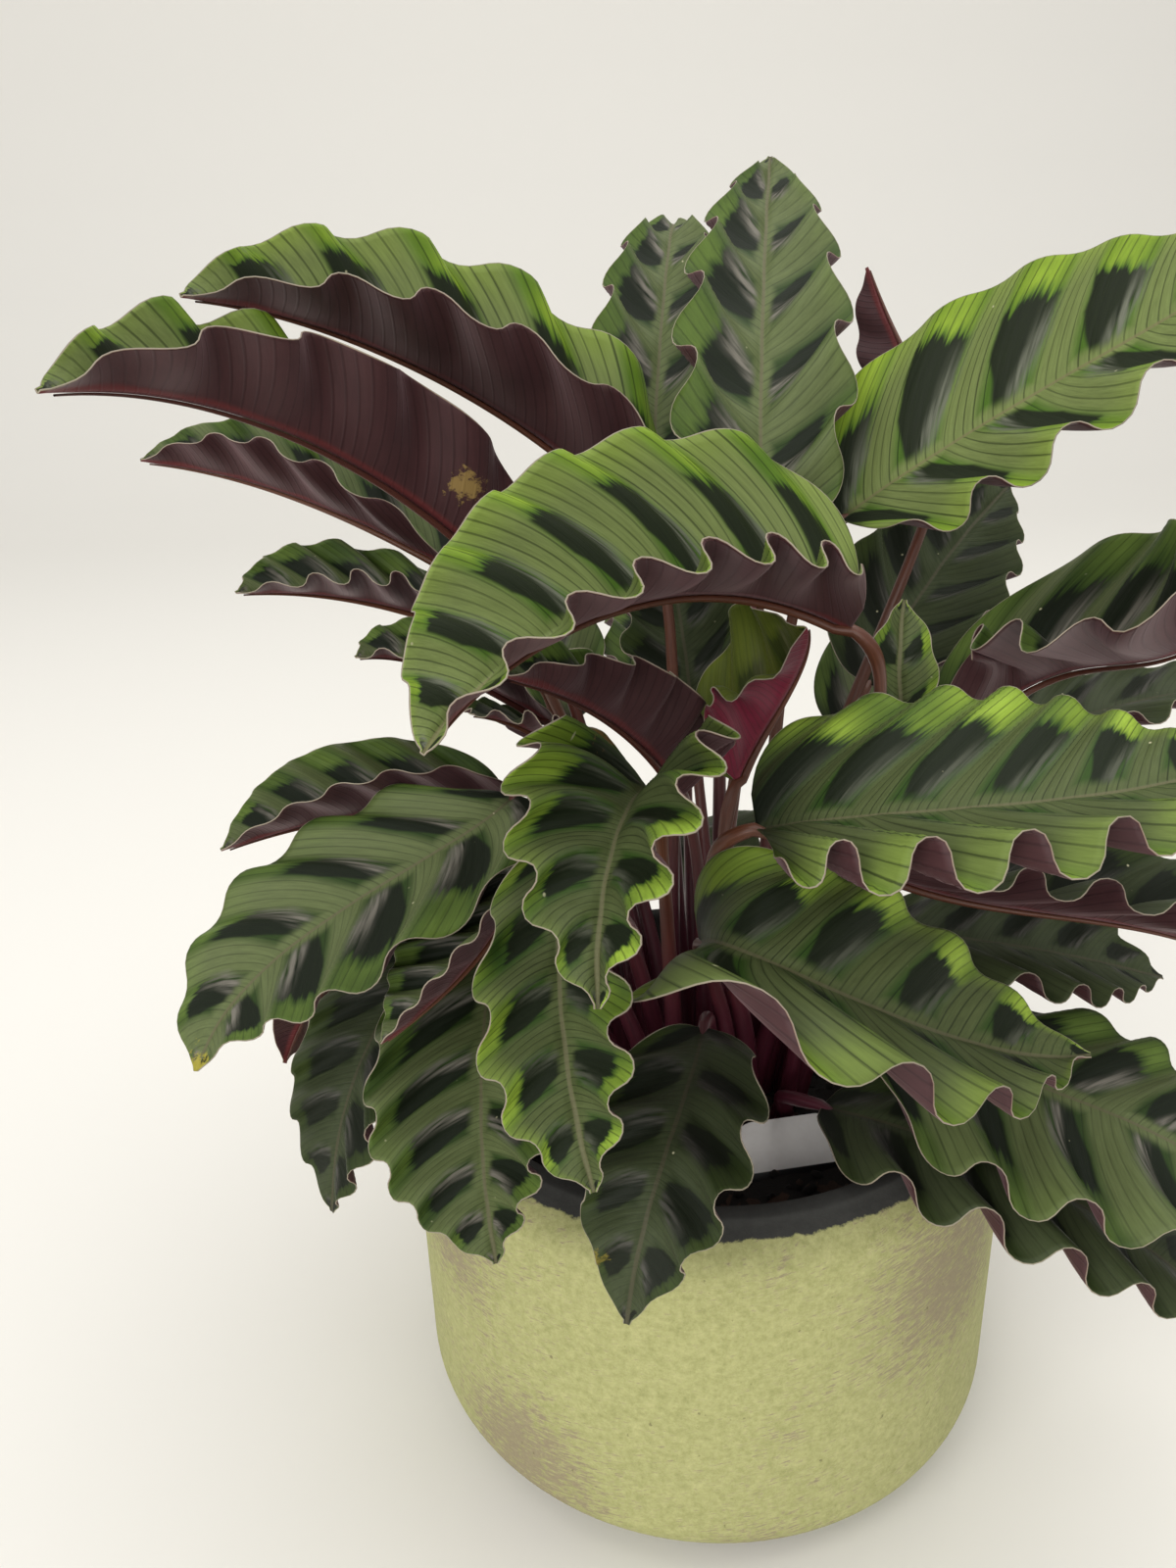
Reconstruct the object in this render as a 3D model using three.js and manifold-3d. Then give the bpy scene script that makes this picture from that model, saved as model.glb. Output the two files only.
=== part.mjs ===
// A potted calathea, in millimetres, +Z up: a rubbed green ceramic pot, the grower's plastic pot
// that stands in it, the soil, a blank plant label, the crown with its stems, and one waved blade
// for each leaf. The origin is the middle of the pot's foot, on the surface that it stands on.
import * as THREE from 'three';
import { mergeVertices } from 'three/addons/utils/BufferGeometryUtils.js';
import Module from 'manifold-3d';

const wasm = await Module();
wasm.setup();

// ---- driving dimensions ----
const CLEARANCE = 0.3; // between pieces that touch
const POT_BELLY_RADIUS = 92;
const POT_RIM_RADIUS = 83;
const POT_FOOT_RADIUS = 46;
const POT_HEIGHT = 124;
const POT_CORNER_HEIGHT = 22; // height of the rounded bottom corner
const POT_SHOULDER_HEIGHT = 112; // where the straight wall starts to draw in
const POT_SIDES = 40;
const POT_WALL = 6;
const POT_FLOOR = 9;
const NURSERY_TOP_RADIUS = 69;
const NURSERY_FOOT_RADIUS = 56;
const NURSERY_HEIGHT = 101;
const NURSERY_SIDES = 28;
const NURSERY_WALL = 1.2;
const NURSERY_LIP = 3; // how far the rolled lip stands out
const SOIL_DEPTH = 8; // from the nursery pot's lip down to the soil
const CROWN_RADIUS = 34;
const CROWN_DEPTH = 16;
const STEM_SIDES = 5;
const STEM_STEPS = 5;
const STEM_FOOT_RADIUS = 3.8; // the leaf sheath at the soil
const STEM_TIP_RADIUS = 1.5;
const STEM_TAPER = 1.6; // power of the taper: most of it is near the soil
const BLADE_THICKNESS = 0.8;
const NARROW_BLADE = 49; // up to this width a blade has 2 cells across, and 4 beyond it
const ROWS_PER_WAVE = 3;
const END_HALF_WIDTH = 0.8; // of a blade's first and last row

const SEAT_GAP = CLEARANCE + BLADE_THICKNESS / 2; // from a stem's end to its blade's rib
const NURSERY_FLOOR = POT_FLOOR + CLEARANCE;
const NURSERY_TOP = NURSERY_FLOOR + NURSERY_HEIGHT;
const SOIL_TOP = NURSERY_TOP - SOIL_DEPTH;

// ---- the leaves ----
// rib: points of the midrib from the stem to the tip. width: across both halves, laid flat.
// fold: how far the left and the right half are folded up, in degrees. roll: turn about the midrib
// at the base and at the tip. waves: their number, and wave: how far a lobe sags on the left and the
// right margin, where a negative one rises. widest: where along the rib. side: compass angle of the
// right half, where it isn't square to the rib. foot: where the stem leaves the crown. rise and neck:
// the lengths of its upright start, as a share of its span, and of its bend into the blade.
const LEAVES = [
  { name: 'high_left', rib: [[-15, 30, 276], [-50, 20, 309], [-89, 0, 332], [-117, -40, 342]],
    width: 70, fold: [25, 75], waves: 5, foot: [-8, 10], widest: 0.3, roll: [12, -5], wave: [3.5, -4.5],
    shade: 'fresh' },
  { name: 'low_left', rib: [[-50, 10, 262], [-82, -15, 299], [-110, -50, 320], [-126, -100, 327]],
    width: 52, fold: [50, 60], waves: 5, foot: [-14, 0], roll: [-5, 10], wave: [3.5, -4.5], shade: 'fresh' },
  { name: 'back_left_1', rib: [[-73, 70, 257], [-125, 75, 283], [-167, 60, 297]],
    width: 46, fold: [46, 50], waves: 5, widest: 0.55, foot: [-12, 14], roll: [18, -5] },
  { name: 'back_left_2', rib: [[-64, 60, 238], [-102, 50, 254], [-132, 20, 264]],
    width: 49, fold: [25, 37], waves: 5, foot: [-18, 10] },
  { name: 'back_left_3', rib: [[-45, 30, 219], [-75, 20, 240], [-97, 5, 248]],
    width: 38, fold: [20, 30], waves: 4, foot: [-16, 4] },
  { name: 'front_arch', rib: [[31, -38, 263], [-10, -50, 276], [-43, -90, 276], [-60, -135, 271]],
    width: 75, fold: [25, 65], roll: [15, -20], waves: 7, foot: [18, 0], shade: 'fresh', wave: [4, -3],
    widest: 0.25 },
  { name: 'top_middle', rib: [[15, 0, 276], [17, 20, 314], [24, 65, 351], [31, 105, 378]],
    width: 46, fold: [20, 20], waves: 6, side: 0, foot: [2, 6], wave: [4.5, 4.5], widest: 0.35 },
  { name: 'top_left', rib: [[-10, 60, 277], [-7, 80, 313], [-1, 115, 349], [4, 145, 361]],
    width: 42, fold: [15, 15], waves: 6, side: 0, foot: [-4, 16], wave: [4, 4], widest: 0.3 },
  { name: 'high_right', rib: [[40, 20, 279], [72, 10, 303], [103, -10, 326], [133, -25, 347]],
    width: 70, fold: [25, 15], roll: [-40, -40], waves: 5, foot: [16, 10], shade: 'fresh',
    wave: [-1.2, 3.5], widest: 0.3 },
  { name: 'spike', rib: [[78, 60, 300], [70, 85, 322], [62, 98, 345]],
    width: 26, fold: [55, 55], waves: 3, side: 200, foot: [15, 13], wave: [1.5, 1.5] },
  { name: 'back_right_dark', rib: [[58, 50, 220], [83, 70, 251], [112, 90, 276]],
    width: 52, fold: [20, 20], roll: [-30, -30], waves: 5, foot: [20, 14], shade: 'old' },
  { name: 'mid_right_1', rib: [[67, -5, 218], [98, -10, 242], [106, -45, 256], [125, -60, 287]],
    width: 72, fold: [55, 30], waves: 5, foot: [22, 4], widest: 0.5, wave: [-1.5, 4.5] },
  { name: 'mid_right_back', rib: [[78, 40, 189], [129, 40, 212], [175, 30, 222]],
    width: 54, fold: [10, 10], waves: 5, foot: [24, 12], shade: 'old' },
  { name: 'front_right', rib: [[4, -75, 228], [35, -82, 234], [71, -92, 241], [106, -88, 247]],
    width: 80, fold: [20, 10], waves: 6, widest: 0.2, foot: [12, -12], shade: 'young', wave: [-1.8, 5],
    roll: [5, -10], rise: 0.4 },
  { name: 'tiny_new', rib: [[49, -24, 236], [48, -22, 250], [50, -15, 264]],
    width: 19, fold: [30, 30], waves: 2, side: 0, foot: [14, -4], shade: 'young', wave: [1, 1] },
  { name: 'front_middle', rib: [[-17, -57, 226], [-23, -80, 239], [-30, -108, 236], [-33, -130, 218]],
    width: 50, fold: [45, 35], waves: 6, foot: [-8, -18], shade: 'young', wave: [4, 4], neck: 10,
    roll: [5, 0] },
  { name: 'front_left', rib: [[-40, -60, 220], [-41, -95, 207], [-39, -120, 194], [-35, -135, 180]],
    width: 34, fold: [50, 12], waves: 5, foot: [-10, -12], shade: 'young', widest: 0.5 },
  { name: 'left_front_short', rib: [[-52, -47, 205], [-58, -61, 196], [-69, -75, 189], [-83, -86, 182]],
    width: 44, fold: [58, 3], waves: 5, foot: [-12, -20], wave: [-1, 3], neck: 14 },
  { name: 'left_drop', rib: [[-60, -30, 179], [-62, -68, 165], [-61, -92, 151], [-58, -108, 137]],
    width: 54, fold: [50, 10], waves: 6, foot: [-18, -14] },
  { name: 'left_drop_small', rib: [[-81, -10, 166], [-96, -30, 149], [-105, -45, 130], [-110, -50, 102]],
    width: 44, fold: [20, 5], waves: 5, foot: [-24, -4], shade: 'old' },
  { name: 'left_big', rib: [[-54, -12, 212], [-79, -37, 204], [-111, -56, 190], [-130, -77, 170]],
    width: 62, fold: [0, 15], waves: 5, foot: [-20, 0], wave: [2.5, -2], widest: 0.5, roll: [0, -5] },
  { name: 'left_tuck', rib: [[-91, 20, 159], [-118, 10, 141], [-131, -5, 121]],
    width: 34, fold: [10, 10], roll: [-75, -75], waves: 4, foot: [-24, 3], shade: 'old', wave: [1.5, 1.5] },
  { name: 'left_mid', rib: [[-58, 20, 196], [-99, 0, 203], [-133, -25, 204]],
    width: 49, fold: [45, 40], waves: 5, foot: [-22, 6], wave: [1.5, 2] },
  { name: 'arch_left', rib: [[-10, -12, 215], [-28, -36, 242], [-51, -70, 264]],
    width: 40, fold: [45, 50], waves: 5, foot: [0, -6] },
  { name: 'arch_dark', rib: [[0, 34, 215], [-3, 42, 245], [-8, 50, 270]],
    width: 36, fold: [10, 10], waves: 4, side: 0, foot: [4, 0], shade: 'old' },
  { name: 'arch_under', rib: [[-38, 15, 212], [-51, 5, 226], [-64, -15, 237]],
    width: 30, fold: [10, 10], waves: 4, foot: [-8, 4], shade: 'old' },
  { name: 'front_right_low', rib: [[-8, -68, 195], [5, -102, 209], [40, -100, 190], [76, -97, 180]],
    width: 56, fold: [25, 15], roll: [-5, -5], waves: 5, foot: [6, -16], shade: 'young', wave: [-2, 4.5] },
  { name: 'low_right_1', rib: [[40, -40, 153], [78, -65, 149], [106, -85, 145], [146, -95, 118]],
    width: 68, fold: [5, -14], waves: 5, foot: [20, -14], wave: [-2, 4.5] },
  { name: 'low_right_2', rib: [[29, -44, 128], [60, -68, 132], [92, -83, 121], [134, -89, 86]],
    width: 50, fold: [5, 0], waves: 6, foot: [20, -16], shade: 'old', wave: [-2, 4] },
  { name: 'mid_right_low', rib: [[53, -8, 163], [97, -12, 157], [134, -16, 148]],
    width: 52, fold: [10, 10], waves: 5, foot: [26, -6], shade: 'old', roll: [0, -15] },
  { name: 'mid_right_2', rib: [[48, -20, 188], [85, -25, 178], [117, -40, 178], [145, -50, 165]],
    width: 56, fold: [35, 42], waves: 5, foot: [24, -2], shade: 'old', wave: [-2, 4.5] },
  { name: 'front_drop', rib: [[-5, -50, 159], [-14, -85, 161], [-23, -108, 152], [-29, -116, 126]],
    width: 38, fold: [10, 10], waves: 5, foot: [0, -24], shade: 'old', wave: [3.5, 3.5] },
  { name: 'red_new', rib: [[6, -25, 219], [14, -21, 233], [21, -24, 248], [21, -35, 263]],
    width: 54, fold: [30, 60], waves: 3, widest: 0.6, side: 280, foot: [8, -8], shade: 'new',
    wave: [-2, 2.5], roll: [0, 5] },
  { name: 'rear_high', rib: [[12, 62, 262], [22, 105, 296], [36, 160, 300]],
    width: 62, fold: [25, 25], waves: 5, foot: [6, 17], shade: 'young' },
  { name: 'rear_left', rib: [[-38, 66, 205], [-64, 110, 232], [-88, 150, 222]],
    width: 54, fold: [20, 20], waves: 5, foot: [-12, 18] },
  { name: 'rear_middle', rib: [[0, 60, 196], [2, 112, 222], [4, 166, 208]],
    width: 54, fold: [15, 15], waves: 5, foot: [0, 22] },
  { name: 'rear_right', rib: [[56, 70, 196], [98, 112, 218], [132, 152, 204]],
    width: 58, fold: [20, 20], waves: 5, foot: [15, 20] },
  { name: 'rear_low_left', rib: [[-48, 50, 150], [-86, 86, 158], [-120, 120, 130]],
    width: 54, fold: [5, 5], waves: 5, foot: [-20, 14], shade: 'old' },
  { name: 'rear_low', rib: [[2, 56, 140], [10, 104, 150], [18, 146, 118]],
    width: 48, fold: [5, 5], waves: 5, foot: [4, 24], shade: 'old' },
  { name: 'rear_low_right', rib: [[52, 44, 148], [94, 76, 152], [132, 104, 122]],
    width: 54, fold: [5, 5], waves: 5, foot: [21, 16], shade: 'old' },
];

const SHADES = {
  fresh: { color: 0x6f9a3e, roughness: 0.45 },
  young: { color: 0x5c8038, roughness: 0.45 },
  mature: { color: 0x4d7038, roughness: 0.5 },
  old: { color: 0x36492c, roughness: 0.55 },
  new: { color: 0x7a2038, roughness: 0.45 },
};
const LEAF_DEFAULTS = {
  roll: [0, 0], wave: [3, 3], widest: 0.42, shade: 'mature', rise: 0.45, neck: 26,
};

// Veins leave the midrib slanting to the tip and bend further that way, and the waves follow them:
// how far they run ahead at the margin, as shares of the half width. The margin meanders: a lobe is
// full, the notch between two lobes is narrow, and the side of a lobe is steep towards the base.
const VEIN_SLANT = 0.45;
const VEIN_BEND = 0.35;
const WAVE_GROWTH = 1.35; // power by which a wave grows from the midrib to the margin
const SCALLOP = 0.5; // how much further out a flat half runs at a lobe, as a share of the wave
const LOBE_SHIFT = 0.2; // how far the waves lie ahead on the right half and behind on the left, in waves
const LOBE_SPREAD = 0.2; // how far the margin meanders along the blade, as a share of the wave
const LOBE_FULLNESS = 0.5; // how much wider a lobe is than a notch
const LOBE_LEAN = 0.4; // how far a lobe leans to the base

const part = new THREE.Group();

function add(name, geometry, look) {
  const mesh = new THREE.Mesh(geometry, new THREE.MeshStandardMaterial({ metalness: 0, ...look }));
  mesh.name = name;
  part.add(mesh);
}

// ---- solids ----
function toManifold(geometry) {
  const bare = geometry.clone();
  bare.deleteAttribute('normal');
  bare.deleteAttribute('uv');
  const merged = mergeVertices(bare, 1e-4);
  return new wasm.Manifold(new wasm.Mesh({
    numProp: 3,
    vertProperties: new Float32Array(merged.attributes.position.array),
    triVerts: new Uint32Array(merged.index.array),
  }));
}

function toGeometry(solid) {
  const mesh = solid.getMesh();
  const geometry = new THREE.BufferGeometry();
  geometry.setAttribute('position', new THREE.BufferAttribute(new Float32Array(mesh.vertProperties), 3));
  geometry.setIndex(new THREE.BufferAttribute(new Uint32Array(mesh.triVerts), 1));
  return geometry;
}

// Turns a profile of [radius, height] points about the Z axis.
function turned(profile, sides) {
  const points = profile.map(([radius, height]) => new THREE.Vector2(radius, height));
  return new THREE.LatheGeometry(points, sides).rotateX(Math.PI / 2);
}

// A closed body from rings of points, each with the same number of points.
function lofted(rings, closedRings) {
  const count = rings[0].length;
  const corners = rings.flat().flatMap((point) => [point.x, point.y, point.z]);
  const faces = [];
  rings.slice(1).forEach((ring, row) => {
    ring.forEach((point, i) => {
      const a = row * count + i;
      const b = row * count + ((i + 1) % count);
      faces.push(a, b, b + count, a, b + count, a + count);
    });
  });
  closedRings(faces, 0, (rings.length - 1) * count, count);
  const geometry = new THREE.BufferGeometry();
  geometry.setAttribute('position', new THREE.Float32BufferAttribute(corners, 3));
  geometry.setIndex(faces);
  return geometry;
}

// ---- pot, nursery pot, soil and label ----
function potOutline() {
  const outline = [[0, 0]];
  const cornerSteps = 5;
  for (let i = 0; i <= cornerSteps; i += 1) {
    const angle = (Math.PI / 2) * (i / cornerSteps);
    outline.push([
      POT_FOOT_RADIUS + (POT_BELLY_RADIUS - POT_FOOT_RADIUS) * Math.sin(angle),
      POT_CORNER_HEIGHT * (1 - Math.cos(angle)),
    ]);
  }
  const shoulderSteps = 3;
  for (let i = 0; i <= shoulderSteps; i += 1) {
    const t = i / shoulderSteps;
    outline.push([
      POT_BELLY_RADIUS - (POT_BELLY_RADIUS - POT_RIM_RADIUS) * t * t,
      POT_SHOULDER_HEIGHT + (POT_HEIGHT - 1 - POT_SHOULDER_HEIGHT) * t,
    ]);
  }
  const inside = POT_RIM_RADIUS - POT_WALL;
  outline.push([POT_RIM_RADIUS - 1, POT_HEIGHT], [inside + 1, POT_HEIGHT], [inside, POT_HEIGHT - 1]);
  outline.push([inside, POT_FLOOR + 8], [inside - 8, POT_FLOOR], [0, POT_FLOOR]);
  return outline;
}

function nurseryOutline() {
  const top = NURSERY_TOP;
  const lip = NURSERY_TOP_RADIUS + NURSERY_LIP;
  return [
    [0, NURSERY_FLOOR],
    [NURSERY_FOOT_RADIUS, NURSERY_FLOOR],
    [NURSERY_TOP_RADIUS, top - 5],
    [lip, top - 5],
    [lip, top],
    [NURSERY_TOP_RADIUS - NURSERY_WALL, top],
    [NURSERY_FOOT_RADIUS - NURSERY_WALL, NURSERY_FLOOR + NURSERY_WALL],
    [0, NURSERY_FLOOR + NURSERY_WALL],
  ];
}

// Inside radius of the nursery pot at a height.
function nurseryInside(height) {
  const t = (height - NURSERY_FLOOR - NURSERY_WALL) / (NURSERY_HEIGHT - NURSERY_WALL);
  const foot = NURSERY_FOOT_RADIUS - NURSERY_WALL;
  return foot + (NURSERY_TOP_RADIUS - NURSERY_WALL - foot) * t;
}

function soilOutline() {
  const bottom = NURSERY_FLOOR + NURSERY_WALL + CLEARANCE;
  const hole = CROWN_RADIUS + CLEARANCE;
  const holeFloor = SOIL_TOP - CROWN_DEPTH - CLEARANCE;
  return [
    [0, bottom],
    [nurseryInside(bottom) - CLEARANCE, bottom],
    [nurseryInside(SOIL_TOP) - CLEARANCE - 0.1, SOIL_TOP - 2],
    [hole + 14, SOIL_TOP],
    [hole, SOIL_TOP],
    [hole, holeFloor],
    [0, holeFloor],
  ];
}

const LABEL_WIDTH = 42;
const LABEL_HEIGHT = 31;
const LABEL_THICKNESS = 0.8;
const LABEL_PLACE = [23, -49, 89]; // middle of the edge that is pushed into the soil
const LABEL_TURN = 0.16; // radians about Z
const LABEL_LEAN = -0.6; // radians back from upright

function labelCard(grow) {
  const half = LABEL_WIDTH / 2 + grow;
  const bevel = 9;
  const shape = new THREE.Shape();
  shape.moveTo(-half, -grow);
  shape.lineTo(half, -grow);
  shape.lineTo(half, LABEL_HEIGHT - bevel);
  shape.lineTo(half - bevel, LABEL_HEIGHT);
  shape.lineTo(bevel - half, LABEL_HEIGHT);
  shape.lineTo(-half, LABEL_HEIGHT - bevel);
  const depth = LABEL_THICKNESS + 2 * grow;
  const card = new THREE.ExtrudeGeometry(shape, { depth, bevelEnabled: false });
  card.translate(0, 0, -depth / 2);
  card.rotateX(Math.PI / 2 + LABEL_LEAN);
  card.rotateZ(LABEL_TURN);
  return card.translate(...LABEL_PLACE);
}

// ---- leaf surface ----
// The curve through evenly spaced points, which it meets at even steps of s.
function curveAt(points, s) {
  const last = points.length - 1;
  const result = new THREE.Vector3();
  points.forEach((point, i) => {
    let weight = 1;
    points.forEach((other, j) => {
      if (j !== i) weight *= (s * last - j) / (i - j);
    });
    result.addScaledVector(new THREE.Vector3(...point), weight);
  });
  return result;
}

function directionAt(points, s) {
  const step = 0.001;
  return curveAt(points, s + step).sub(curveAt(points, s - step)).normalize();
}

function ribLength(points) {
  const steps = 40;
  let length = 0;
  for (let i = 0; i < steps; i += 1) {
    length += curveAt(points, i / steps).distanceTo(curveAt(points, (i + 1) / steps));
  }
  return length;
}

// Share of the full half width at s: a round base, a long taper and a pointed tip.
function bladeOutline(s, widest) {
  if (s < widest) return Math.sqrt(Math.max(0, 1 - (1 - s / widest) ** 2.4));
  return 1 - ((s - widest) / (1 - widest)) ** 2.2;
}

function acrossDirection(leaf) {
  if (leaf.side !== undefined) {
    const angle = THREE.MathUtils.degToRad(leaf.side);
    return new THREE.Vector3(Math.cos(angle), Math.sin(angle), 0);
  }
  const chord = curveAt(leaf.rib, 1).sub(curveAt(leaf.rib, 0));
  return new THREE.Vector3(chord.y, -chord.x, 0).normalize();
}

// A point of the middle surface: s runs from the stem to the tip, v from -1 to 1 across.
function leafPoint(leaf, s, v) {
  const along = directionAt(leaf.rib, s);
  const level = acrossDirection(leaf).addScaledVector(along, -along.dot(acrossDirection(leaf))).normalize();
  const raised = new THREE.Vector3().crossVectors(level, along);
  const roll = THREE.MathUtils.degToRad(THREE.MathUtils.lerp(leaf.roll[0], leaf.roll[1], s));
  const across = level.clone().multiplyScalar(Math.cos(roll)).addScaledVector(raised, Math.sin(roll));
  const up = new THREE.Vector3().crossVectors(across, along);

  const a = Math.abs(v);
  const half = v > 0 ? 1 : 0;
  const width = Math.max((bladeOutline(s, leaf.widest) * leaf.width) / 2, END_HALF_WIDTH);
  const veinStart = s - ((VEIN_SLANT * a + VEIN_BEND * a * a) * width) / leaf.length;
  const angle = 2 * Math.PI * (leaf.waves * veinStart - Math.sign(v) * LOBE_SHIFT);
  const fade = Math.sqrt(Math.sin(Math.PI * Math.min(1, Math.max(0, s)) ** 0.8));
  const swing = leaf.wave[half] * a ** WAVE_GROWTH * fade;
  const fold = THREE.MathUtils.degToRad(leaf.fold[half]);
  const reach = a * width + SCALLOP * Math.abs(swing) * Math.sqrt(Math.cos(fold)) * Math.cos(angle);
  const lift = -swing * Math.cos(angle);
  const meander = Math.sin(2 * angle) + LOBE_FULLNESS * Math.sin(angle) - LOBE_LEAN * Math.cos(angle);
  return curveAt(leaf.rib, s)
    .addScaledVector(across, Math.sign(v) * (reach * Math.cos(fold) - lift * Math.sin(fold)))
    .addScaledVector(up, reach * Math.sin(fold) + lift * Math.cos(fold))
    .addScaledVector(along, LOBE_SPREAD * Math.abs(swing) * meander);
}

function bladeSection(leaf, s) {
  const step = 0.002;
  const upper = [];
  const lower = [];
  for (let i = 0; i <= leaf.cells; i += 1) {
    const v = (2 * i) / leaf.cells - 1;
    const point = leafPoint(leaf, s, v);
    const back = Math.max(s - step, 0);
    const ahead = Math.min(s + step, 1);
    const [left, right] = [Math.max(v - step, -1), Math.min(v + step, 1)];
    const acrossStep = leafPoint(leaf, s, right).sub(leafPoint(leaf, s, left));
    const alongStep = leafPoint(leaf, ahead, v).sub(leafPoint(leaf, back, v));
    const normal = acrossStep.cross(alongStep).normalize();
    upper.push(point.clone().addScaledVector(normal, BLADE_THICKNESS / 2));
    lower.push(point.clone().addScaledVector(normal, -BLADE_THICKNESS / 2));
  }
  return { upper, lower };
}

// Both faces of a blade are split along the same diagonals, so that they never cross.
function blade(leaf) {
  const rows = Math.round(ROWS_PER_WAVE * leaf.waves) + 1;
  const sections = [];
  for (let row = 0; row <= rows; row += 1) sections.push(bladeSection(leaf, row / rows));
  const across = leaf.cells + 1;
  const corners = sections.flatMap(({ upper, lower }) => [...upper, ...lower]);
  const at = (row, face, i) => row * across * 2 + face * across + i;
  const faces = [];
  const quad = (a, b, c, d) => faces.push(a, b, c, a, c, d);
  for (let row = 0; row < rows; row += 1) {
    for (let i = 0; i < leaf.cells; i += 1) {
      const [a, b, c, d] = [at(row, 0, i), at(row, 0, i + 1), at(row + 1, 0, i + 1), at(row + 1, 0, i)];
      const [e, f, g, h] = [at(row, 1, i), at(row, 1, i + 1), at(row + 1, 1, i + 1), at(row + 1, 1, i)];
      faces.push(a, b, c, a, c, d, e, g, f, e, h, g);
    }
    const end = leaf.cells;
    quad(at(row, 0, 0), at(row + 1, 0, 0), at(row + 1, 1, 0), at(row, 1, 0));
    quad(at(row, 1, end), at(row + 1, 1, end), at(row + 1, 0, end), at(row, 0, end));
  }
  for (let i = 0; i < leaf.cells; i += 1) {
    quad(at(0, 1, i), at(0, 1, i + 1), at(0, 0, i + 1), at(0, 0, i));
    quad(at(rows, 0, i), at(rows, 0, i + 1), at(rows, 1, i + 1), at(rows, 1, i));
  }
  const geometry = new THREE.BufferGeometry();
  geometry.setAttribute(
    'position', new THREE.Float32BufferAttribute(corners.flatMap((point) => [point.x, point.y, point.z]), 3),
  );
  geometry.setIndex(faces);
  return geometry;
}

// ---- stems ----
function stemCurve(leaf) {
  const foot = new THREE.Vector3(...leaf.foot, SOIL_TOP - CROWN_DEPTH / 2);
  const along = directionAt(leaf.rib, 0);
  const end = curveAt(leaf.rib, 0).addScaledVector(along, -SEAT_GAP);
  const height = end.distanceTo(foot) * leaf.rise;
  const first = foot.clone().add(new THREE.Vector3(...leaf.foot, 0).multiplyScalar(0.5));
  first.z += height;
  const second = end.clone().addScaledVector(along, -leaf.neck);
  return new THREE.CubicBezierCurve3(foot, first, second, end);
}

function stem(leaf) {
  const curve = stemCurve(leaf);
  const rings = [];
  let side = new THREE.Vector3(1, 0, 0);
  for (let i = 0; i <= STEM_STEPS; i += 1) {
    const t = i / STEM_STEPS;
    const centre = curve.getPoint(t);
    const tangent = i === STEM_STEPS ? directionAt(leaf.rib, 0) : curve.getTangent(t);
    side = side.addScaledVector(tangent, -tangent.dot(side)).normalize();
    const other = new THREE.Vector3().crossVectors(tangent, side);
    const radius = STEM_TIP_RADIUS + (STEM_FOOT_RADIUS - STEM_TIP_RADIUS) * (1 - t) ** STEM_TAPER;
    const ring = [];
    for (let k = 0; k < STEM_SIDES; k += 1) {
      const angle = (2 * Math.PI * k) / STEM_SIDES;
      ring.push(centre.clone()
        .addScaledVector(side, radius * Math.cos(angle))
        .addScaledVector(other, radius * Math.sin(angle)));
    }
    rings.push(ring);
  }
  return lofted(rings, (faces, first, last, count) => {
    for (let k = 1; k < count - 1; k += 1) {
      faces.push(first, first + k + 1, first + k);
      faces.push(last, last + k, last + k + 1);
    }
  });
}

function stems(leaves) {
  const crown = turned([
    [0, SOIL_TOP - CROWN_DEPTH],
    [CROWN_RADIUS, SOIL_TOP - CROWN_DEPTH],
    [CROWN_RADIUS, SOIL_TOP - 1],
    [0, SOIL_TOP + 1],
  ], 24);
  let solid = toManifold(crown);
  leaves.forEach((leaf) => {
    solid = solid.add(toManifold(stem(leaf)));
  });
  return toGeometry(solid);
}

// ---- the plant in its pot ----
const leaves = LEAVES.map((row) => ({
  ...LEAF_DEFAULTS,
  ...row,
  length: ribLength(row.rib),
  cells: row.width > NARROW_BLADE ? 4 : 2,
}));

add('pot', turned(potOutline(), POT_SIDES), { color: 0xb3ba78, roughness: 0.85 });
add('nursery_pot', turned(nurseryOutline(), NURSERY_SIDES), { color: 0x161616, roughness: 0.6 });
const soil = toManifold(turned(soilOutline(), NURSERY_SIDES)).subtract(toManifold(labelCard(CLEARANCE)));
add('soil', toGeometry(soil), { color: 0x241b14, roughness: 0.95 });
add('plant_label', labelCard(0), { color: 0xf2f2ee, roughness: 0.4 });
add('stems', stems(leaves), { color: 0x6e3832, roughness: 0.5 });
leaves.forEach((leaf) => add(`leaf_${leaf.name}`, blade(leaf), SHADES[leaf.shade]));

export default part;
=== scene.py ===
import math

import bmesh
import bpy
import numpy as np
from mathutils import Matrix, Vector


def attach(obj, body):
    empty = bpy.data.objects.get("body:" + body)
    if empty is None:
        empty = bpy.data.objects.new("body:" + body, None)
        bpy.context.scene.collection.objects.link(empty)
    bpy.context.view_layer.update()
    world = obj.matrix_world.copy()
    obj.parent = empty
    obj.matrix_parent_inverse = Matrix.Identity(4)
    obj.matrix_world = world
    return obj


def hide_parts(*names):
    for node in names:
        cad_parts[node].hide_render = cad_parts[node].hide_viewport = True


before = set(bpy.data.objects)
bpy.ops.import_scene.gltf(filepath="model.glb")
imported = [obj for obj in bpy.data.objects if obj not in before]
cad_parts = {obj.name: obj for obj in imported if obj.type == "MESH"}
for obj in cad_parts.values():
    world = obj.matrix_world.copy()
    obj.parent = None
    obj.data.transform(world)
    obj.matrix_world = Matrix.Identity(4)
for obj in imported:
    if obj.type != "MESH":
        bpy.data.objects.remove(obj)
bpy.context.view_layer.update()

MM = 0.001
SAME_PLACE = 0.01  # mm: points closer than this are one

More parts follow.
